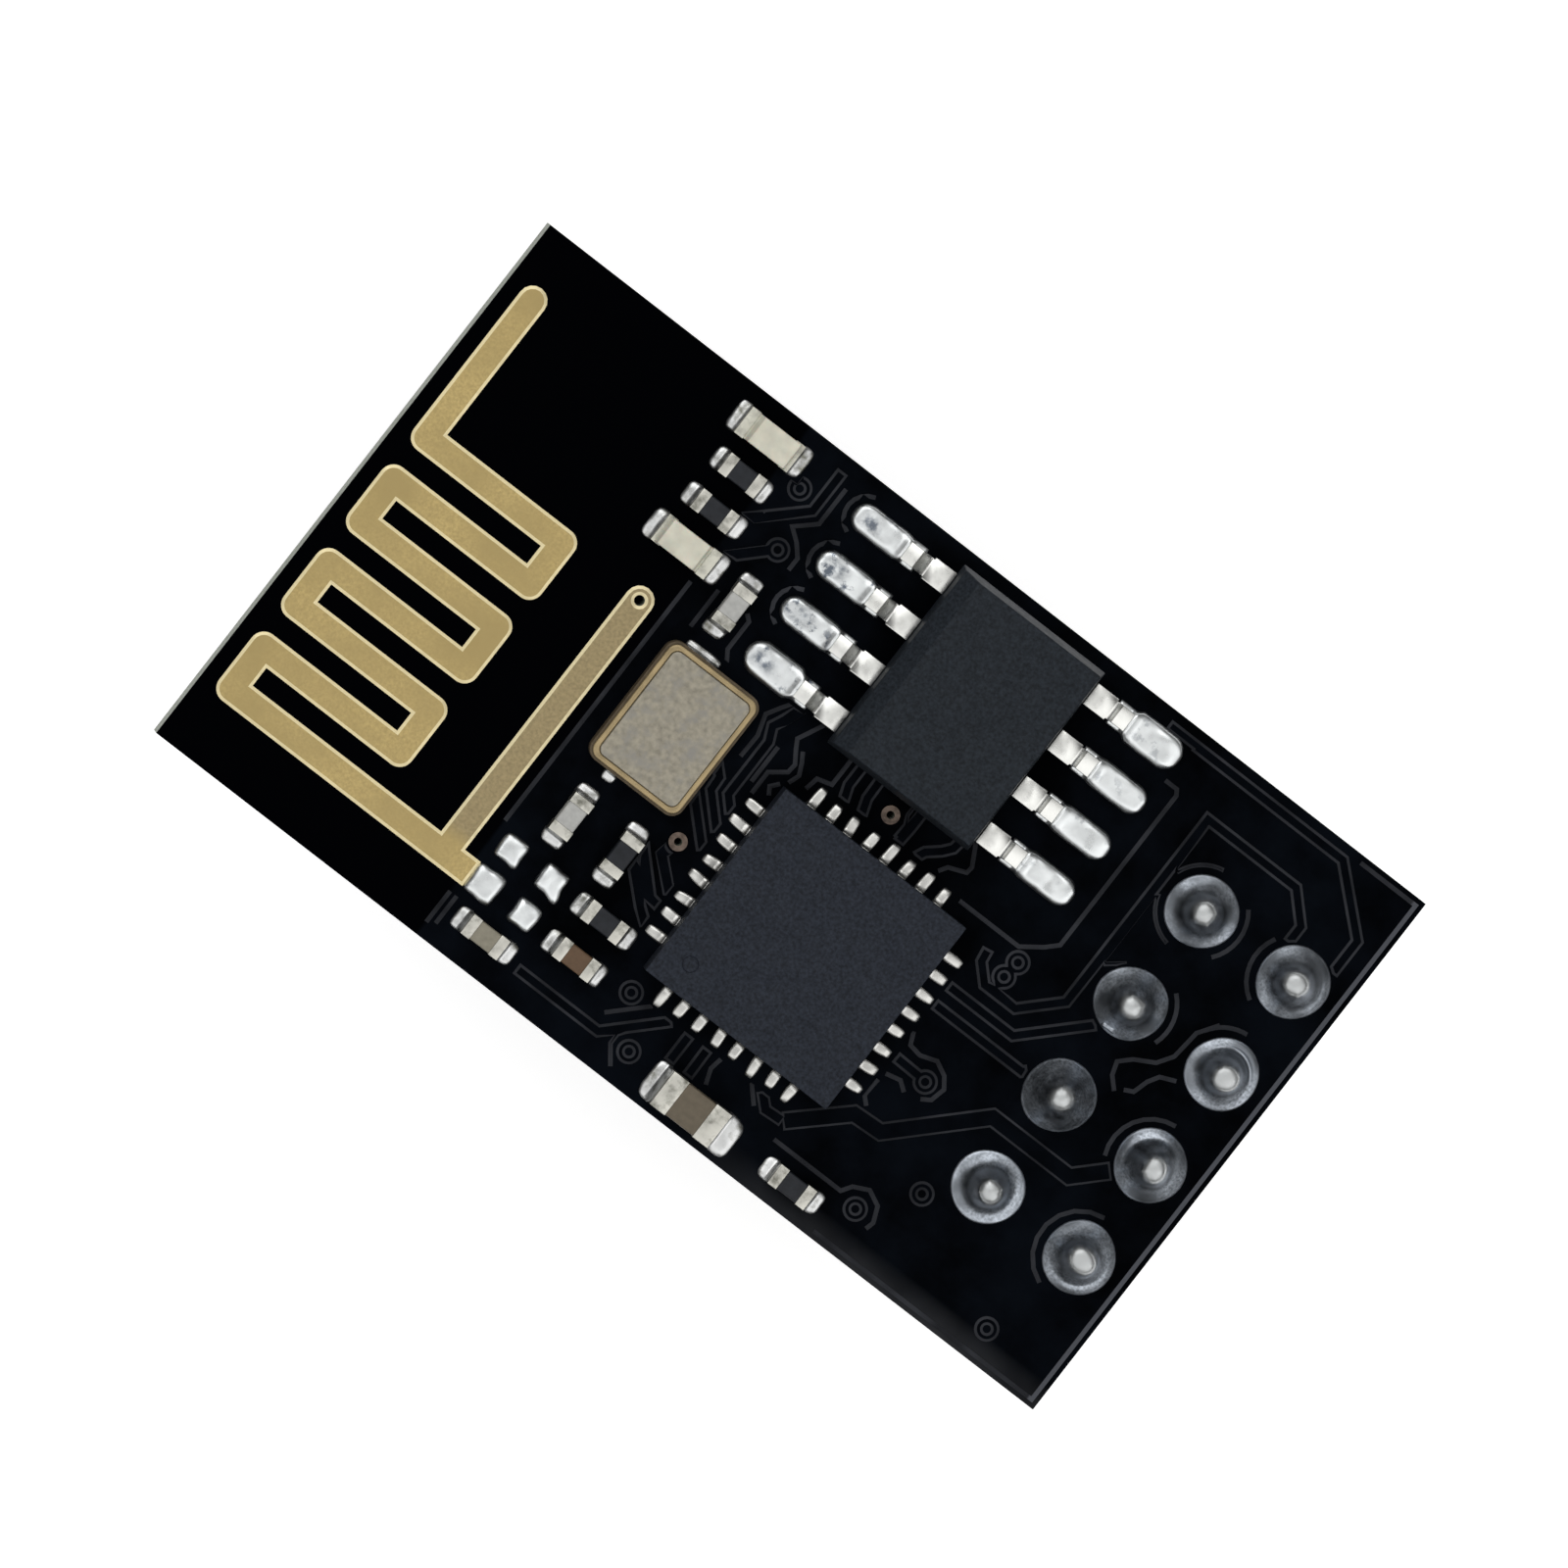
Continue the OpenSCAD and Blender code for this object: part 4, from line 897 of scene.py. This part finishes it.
class MODULE_OT_radio(bpy.types.Operator):
    """Finishes the radio chip and its soldered terminals"""
    bl_idname = "module.radio"
    bl_label = "Radio chip"

    # Share of a terminal outside the chip, how far its solder spreads, and how far it stays below the top
    OUTSIDE, SPREAD, BELOW = 0.555, 1.06, 0.05

    def execute(self, context):
        look = colours()
        dress("radio_chip", moulded_finish("radio_moulding", look.radio, depth=0.45), sizes().chip_edge)
        draw = random.Random(11)
        low, high = box_mm("radio_chip")
        shape = bmesh.new()
        for a, b in islands("radio_terminals"):
            away = (a + b - low - high) / 2
            wall, turn = facing(low, high, away)
            out, along = (0, 1) if abs(away.x) > abs(away.y) else (1, 0)
            wall[along] = ((a + b) / 2)[along]
            reach = (b - a)[out] * self.OUTSIDE
            width = (b - a)[along] * self.SPREAD
            rise = (b.z - TOP) - self.BELOW
            patch(shape, wall, turn, reach, width, rise, draw, film=0.07, climb=0.07, steps=(8, 8))
        closed(shape)
        land = metal_finish("land_solder", look.land, 0.34, relief=0.0006, scale=3.0)
        finish_piece("radio_solder", shape, land, "radio_terminals")
        return {"FINISHED"}


class MODULE_OT_memory(bpy.types.Operator):
    """Finishes the memory chip, its leads and the solder on its pads"""
    bl_idname = "module.memory"
    bl_label = "Memory chip"

    # Width of the solder at a lead's toe and on its pad, as shares of the lead's and the pad's width
    NECK, ON_PAD, ON_BROAD_PAD = 1.12, 1.02, 1.2
    # Numbers of the pads that hold more solder
    BROAD_PADS = (0, 7)

    def execute(self, context):
        look = colours()
        moulding = moulded_finish("memory_moulding", look.memory, depth=0.45)
        dress("memory_chip", moulding, sizes().chip_edge, segments=3)
        tin = metal_finish("lead_tin", look.tin, 0.32)
        for name in LEADS:
            dress(name, tin, sizes().metal_edge)
        draw = random.Random(5)
        shape = bmesh.new()
        low, high = box_mm("memory_chip")
        middle = (low + high) / 2
        pads = islands("memory_solder")
        for k, (a, b) in enumerate(pads):
            side = 1 if a.x > middle.x else -1
            toe = box_mm(LEADS[0 if side < 0 else 4])
            neck = (toe[1].y - toe[0].y) * self.NECK
            wall = Vector((toe[1].x if side > 0 else toe[0].x, (a.y + b.y) / 2, TOP))
            reach = b.x - wall.x if side > 0 else wall.x - a.x
            wide = (b.y - a.y) * (self.ON_BROAD_PAD if k in self.BROAD_PADS else self.ON_PAD)
            turn = 0.0 if side > 0 else math.pi
            pool(shape, wall, turn, reach, wide, neck, b.z - TOP, draw)
        closed(shape)
        first, second = pads[0], pads[1]
        row = (first[0].y + first[1].y) / 2
        pitch = second[0].y - first[0].y
        finish_piece("memory_pools", shape, pool_finish(row, pitch, first[0].x), "memory_solder")
        return {"FINISHED"}


class MODULE_OT_crystal(bpy.types.Operator):
    """Finishes the clock crystal"""
    bl_idname = "module.crystal"
    bl_label = "Crystal"

    def execute(self, context):
        look = colours()
        edge = sizes().metal_edge
        dress("crystal_base", moulded_finish("crystal_ceramic", look.ceramic, grain=12.0), edge)
        gold = metal_finish("crystal_gold", look.ring, 0.4, scale=2.0, metallic=0.6, depth=0.25)
        dress("crystal_ring", gold, edge)
        satin = metal_finish("crystal_cover", look.lid, 0.42, scale=8.0, metallic=0.6, depth=0.22,
                             stain=look.lid_cool)
        dress("crystal_lid", satin, edge)
        return {"FINISHED"}


class MODULE_OT_parts(bpy.types.Operator):
    """Finishes the resistors, capacitors and lamps with their solder"""
    bl_idname = "module.parts"
    bl_label = "Small parts"

    # Ceramic of each capacitor
    CLAY = {
        "capacitor_1": "capacitor_grey", "capacitor_2": "capacitor_grey", "capacitor_3": "capacitor_brown",
        "capacitor_4": "capacitor_beige", "capacitor_5": "capacitor_tan",
    }
    # How far the solder reaches from a part's end, in millimetres, and the shares of the part's width
    # and height that it takes
    REACH, SPREAD, CLIMB = 0.31, 1.08, 0.6
    # The same reach for the supply capacitor, which has more of it at one end
    SUPPLY_REACH, SUPPLY_MORE = 0.47, 0.11
    # Side, reach and width of the solder that shows beside the crystal, with its height and its place
    CRYSTAL_SOLDER = ((1, 0.20, 0.92), (-1, 0.24, 0.34))
    CRYSTAL_RISE, CRYSTAL_OFFSET = 0.22, 0.45
    # Direction and amount by which each bead on the bare pads is drawn out
    DRAWN_OUT = ((0.0, 0.0), (5.5, 0.06), (0.0, 0.0), (math.radians(-48), 0.36))

    def execute(self, context):
        look = colours()
        edge = sizes().part_edge
        glaze = moulded_finish("resistor_glaze", look.resistor, grain=10.0, roughness=0.4, specular=0.2)
        lens = lens_finish()
        fired = {}
        for clay in sorted(set(self.CLAY.values())):
            fired[clay] = moulded_finish(clay, getattr(look, clay), grain=12.0, roughness=0.5, specular=0.2,
                                         depth=0.1)
        tin = metal_finish("terminal_tin", look.terminal, 0.35, scale=4.0, stain=look.stain)
        pale = metal_finish("lamp_plating", look.lamp_end, 0.42, scale=4.0, metallic=0.5,
                            stain=shade(look.lamp_end, 0.6))
        for name in PARTS:
            if name.startswith("lamp"):
                body = lens
            elif name.startswith("resistor"):
                body = glaze
            else:
                body = fired[self.CLAY[name]]
            dress(name + "_body", body, edge, segments=3)
            dress(name + "_terminals", pale if body is lens else tin, edge, segments=3)
        self.solder(look)
        return {"FINISHED"}

    def solder(self, look):
        """Adds the solder at the ends of the parts, beside the crystal and on the bare pads."""
        draw = random.Random(3)
        shape = bmesh.new()
        for name in PARTS:
            low, high = box_mm(name + "_terminals")
            size = high - low
            flat = size.x > size.y
            wide = size.y if flat else size.x
            for side in (1, -1):
                reach = self.REACH
                if name == "capacitor_5":
                    reach = self.SUPPLY_REACH + self.SUPPLY_MORE * side
                wall, turn = facing(low, high, Vector((side, 0, 0)) if flat else Vector((0, side, 0)))
                patch(shape, wall, turn, reach, wide * self.SPREAD, size.z * self.CLIMB, draw)
        low, high = box_mm("crystal_base")
        for side, reach, wide in self.CRYSTAL_SOLDER:
            wall, turn = facing(low, high, Vector((0, side, 0)))
            wall.x -= self.CRYSTAL_OFFSET
            patch(shape, wall, turn, reach, wide, self.CRYSTAL_RISE, draw, climb=0.06)
        closed(shape)
        dull = metal_finish("part_solder_metal", look.fillet, 0.34, relief=0.0006, scale=3.0, depth=0.2,
                            stain=look.stain)
        finish_piece("part_fillets", shape, dull, "part_solder")
        beads = bmesh.new()
        for (a, b), pull in zip(islands("antenna_solder"), self.DRAWN_OUT):
            bead(beads, (a + b) / 2, b - a, draw, pull)
        closed(beads)
        bright = metal_finish("bead_solder", look.solder, 0.34, relief=0.0004, scale=2.5)
        finish_piece("antenna_beads", beads, bright, "antenna_solder")


class MODULE_OT_header(bpy.types.Operator):
    """Finishes the pin header and its solder joints"""
    bl_idname = "module.header"
    bl_label = "Pin header"

    # Lift of the skirt, depth and direction of its crease, and width of the tip, row by row
    STYLES = (
        (-0.08, 0.0, 0.0, 0.9),
        (0.75, 0.0, 0.0, 0.9),
        (0.42, 0.0, 0.0, 0.9),
        (0.16, 0.0, 0.0, 0.9),
        (0.35, 0.07, 5.6, 1.2),
        (0.4, 0.06, 2.4, 1.0),
        (0.10, 0.10, 1.2, 1.2),
        (0.3, 0.04, 0.0, 1.0),
    )
    # Number of the joint with a bead on its skirt, and the bead's direction, distance and size
    BEADED = 2
    BEAD_TURN, BEAD_OUT = 4.6, 0.66
    BEAD_SIZE = Vector((0.36, 0.24, 0.14))

    def execute(self, context):
        plastic = moulded_finish("insulator_plastic", colours().insulator, grain=14.0, relief=0.003,
                                 roughness=0.45)
        dress("header_body", plastic, sizes().plastic_edge)
        plating = pin_finish()
        for name in PINS:
            dress(name, plating, sizes().metal_edge)
        draw = random.Random(8)
        shape = bmesh.new()
        away = Vector((math.cos(self.BEAD_TURN), math.sin(self.BEAD_TURN), 0)) * self.BEAD_OUT
        for k, (a, b) in enumerate(islands("header_solder")):
            joint(shape, (a + b) / 2, (b.x - a.x) / 2, self.STYLES[k], draw)
            if k == self.BEADED:
                bead(shape, (a + b) / 2 + away, self.BEAD_SIZE, draw)
        closed(shape)
        finish_piece("joint_solder", shape, joint_finish(), "header_solder")
        return {"FINISHED"}


class MODULE_OT_stage(bpy.types.Operator):
    """Sets the floor, lamps, world and camera"""
    bl_idname = "module.stage"
    bl_label = "Studio stage"

    # Strength with which the floor shows as a pale background
    FLOOR_GLOW = 0.60
    # Height in the sky, from the horizon at 0 to overhead at 1, and brightness there
    SKY = ((0.0, 0.12), (0.45, 0.10), (0.78, 0.36), (0.95, 0.80))
    # Side of a softbox in metres, the spot that the lamps face, and each one's place from it and power
    SOFTBOX = 0.50
    LIT_SPOT = Vector((-9.6, 0, TOP)) * MM
    LAMPS = (
        ("key_softbox", Vector((-0.247, 0.296, 0.46)), 1.35),
        ("fill_softbox", Vector((0.372, -0.103, 0.46)), 0.90),
        ("low_softbox", Vector((-0.094, -0.374, 0.46)), 0.65),
    )
    # Middle of the view, and the camera's tilt along and across the board and its roll
    VIEW_SPOT = Vector((-10.236, 0.43, TOP)) * MM
    TILT_ALONG = math.radians(6.0)
    TILT_ACROSS = math.radians(1.0)
    ROLL = math.radians(37.95)
    # Nearest and farthest distance that the camera sees, in metres
    NEAR, FAR = 0.05, 20

    def execute(self, context):
        self.floor(context)
        self.world(context)
        self.lamps(context)
        self.camera(context)
        context.scene.view_settings.view_transform = "Standard"
        return {"FINISHED"}

    def floor(self, context):
        """A plain floor under the pins, which shows pale and keeps the shadow."""
        half = sizes().floor_size / 2
        level = CAD_BOX[0].z
        corners = [(x * half, y * half, level) for x, y in ((-1, -1), (1, -1), (1, 1), (-1, 1))]
        mesh = bpy.data.meshes.new("floor")
        mesh.from_pydata(corners, [], [(0, 1, 2, 3)])
        plane = bpy.data.objects.new("floor", mesh)
        context.scene.collection.objects.link(plane)
        finish = Finish("pale_floor", colours().floor, roughness=0.9, specular=0.0)
        path = finish.nodes.new("ShaderNodeLightPath")
        seen = finish.combine("MAXIMUM", path.outputs["Is Camera Ray"], path.outputs["Is Glossy Ray"])
        seen = finish.combine("MAXIMUM", seen, path.outputs["Is Transmission Ray"])
        glow = finish.combine("MULTIPLY", seen, self.FLOOR_GLOW)
        finish.shader.inputs["Emission Color"].default_value = (1, 1, 1, 1)
        finish.links.new(glow, finish.shader.inputs["Emission Strength"])
        mesh.materials.append(finish.material)

    def world(self, context):
        """A sky that is bright overhead and dim towards the horizon."""
        world = bpy.data.worlds.new("studio")
        context.scene.world = world
        world.use_nodes = True
        nodes, links = world.node_tree.nodes, world.node_tree.links
        place = nodes.new("ShaderNodeTexCoord")
        split = nodes.new("ShaderNodeSeparateXYZ")
        ramp = nodes.new("ShaderNodeValToRGB")
        links.new(place.outputs["Generated"], split.inputs[0])
        links.new(split.outputs["Z"], ramp.inputs[0])
        stops = ramp.color_ramp.elements
        stops.remove(stops[1])
        for height, _ in self.SKY[1:]:
            stops.new(height)
        for stop, (_, level) in zip(stops, self.SKY):
            stop.color = (level, level, level, 1)
        links.new(ramp.outputs[0], nodes["Background"].inputs["Color"])

    def lamps(self, context):
        """Three square softboxes round the board."""
        for name, away, power in self.LAMPS:
            lamp = bpy.data.lights.new(name, "AREA")
            lamp.shape = "SQUARE"
            lamp.size = self.SOFTBOX
            lamp.energy = power
            holder = bpy.data.objects.new(name, lamp)
            holder.location = self.LIT_SPOT + away
            holder.rotation_euler = (-away).to_track_quat("-Z", "Y").to_euler()
            context.scene.collection.objects.link(holder)

    def camera(self, context):
        """A long lens almost straight above the board."""
        size = sizes()
        data = bpy.data.cameras.new("camera")
        data.lens = size.focal
        data.sensor_width = size.sensor
        data.clip_start = self.NEAR
        data.clip_end = self.FAR
        camera = bpy.data.objects.new("camera", data)
        context.scene.collection.objects.link(camera)
        back = Vector((-math.sin(self.TILT_ALONG), math.sin(self.TILT_ACROSS), 0))
        back.z = math.sqrt(1 - back.length_squared)
        up = Vector((-math.sin(self.ROLL), math.cos(self.ROLL), 0))
        right = up.cross(back).normalized()
        place = Matrix((right, back.cross(right), back)).transposed().to_4x4()
        place.translation = self.VIEW_SPOT + back * (size.frame_width * size.focal / size.sensor)
        camera.matrix_world = place
        context.scene.camera = camera


class MODULE_PT_panel(bpy.types.Panel):
    """Lists the module's pieces and its stage"""
    bl_label = "Plug-in wifi module"
    bl_idname = "MODULE_PT_panel"
    bl_space_type = "VIEW_3D"
    bl_region_type = "UI"
    bl_category = "Module"

    def draw(self, context):
        for operator in OPERATORS:
            self.layout.operator(operator.bl_idname)
        for group in (context.scene.module_colours, context.scene.module_sizes):
            column = self.layout.column()
            for name in group.__annotations__:
                column.prop(group, name)


OPERATORS = (MODULE_OT_board, MODULE_OT_radio, MODULE_OT_memory, MODULE_OT_crystal, MODULE_OT_parts,
             MODULE_OT_header, MODULE_OT_stage)
CLASSES = (ModuleColours, ModuleSizes) + OPERATORS + (MODULE_PT_panel,)


def register():
    """Adds the classes and the scene's properties."""
    for item in CLASSES:
        bpy.utils.register_class(item)
    bpy.types.Scene.module_colours = bpy.props.PointerProperty(type=ModuleColours)
    bpy.types.Scene.module_sizes = bpy.props.PointerProperty(type=ModuleSizes)


def unregister():
    """Takes the scene's properties and the classes away."""
    del bpy.types.Scene.module_sizes
    del bpy.types.Scene.module_colours
    for item in reversed(CLASSES):
        bpy.utils.unregister_class(item)


def main():
    register()
    bpy.ops.module.board()
    bpy.ops.module.radio()
    bpy.ops.module.memory()
    bpy.ops.module.crystal()
    bpy.ops.module.parts()
    bpy.ops.module.header()
    bpy.ops.module.stage()


if __name__ == "__main__":
    main()
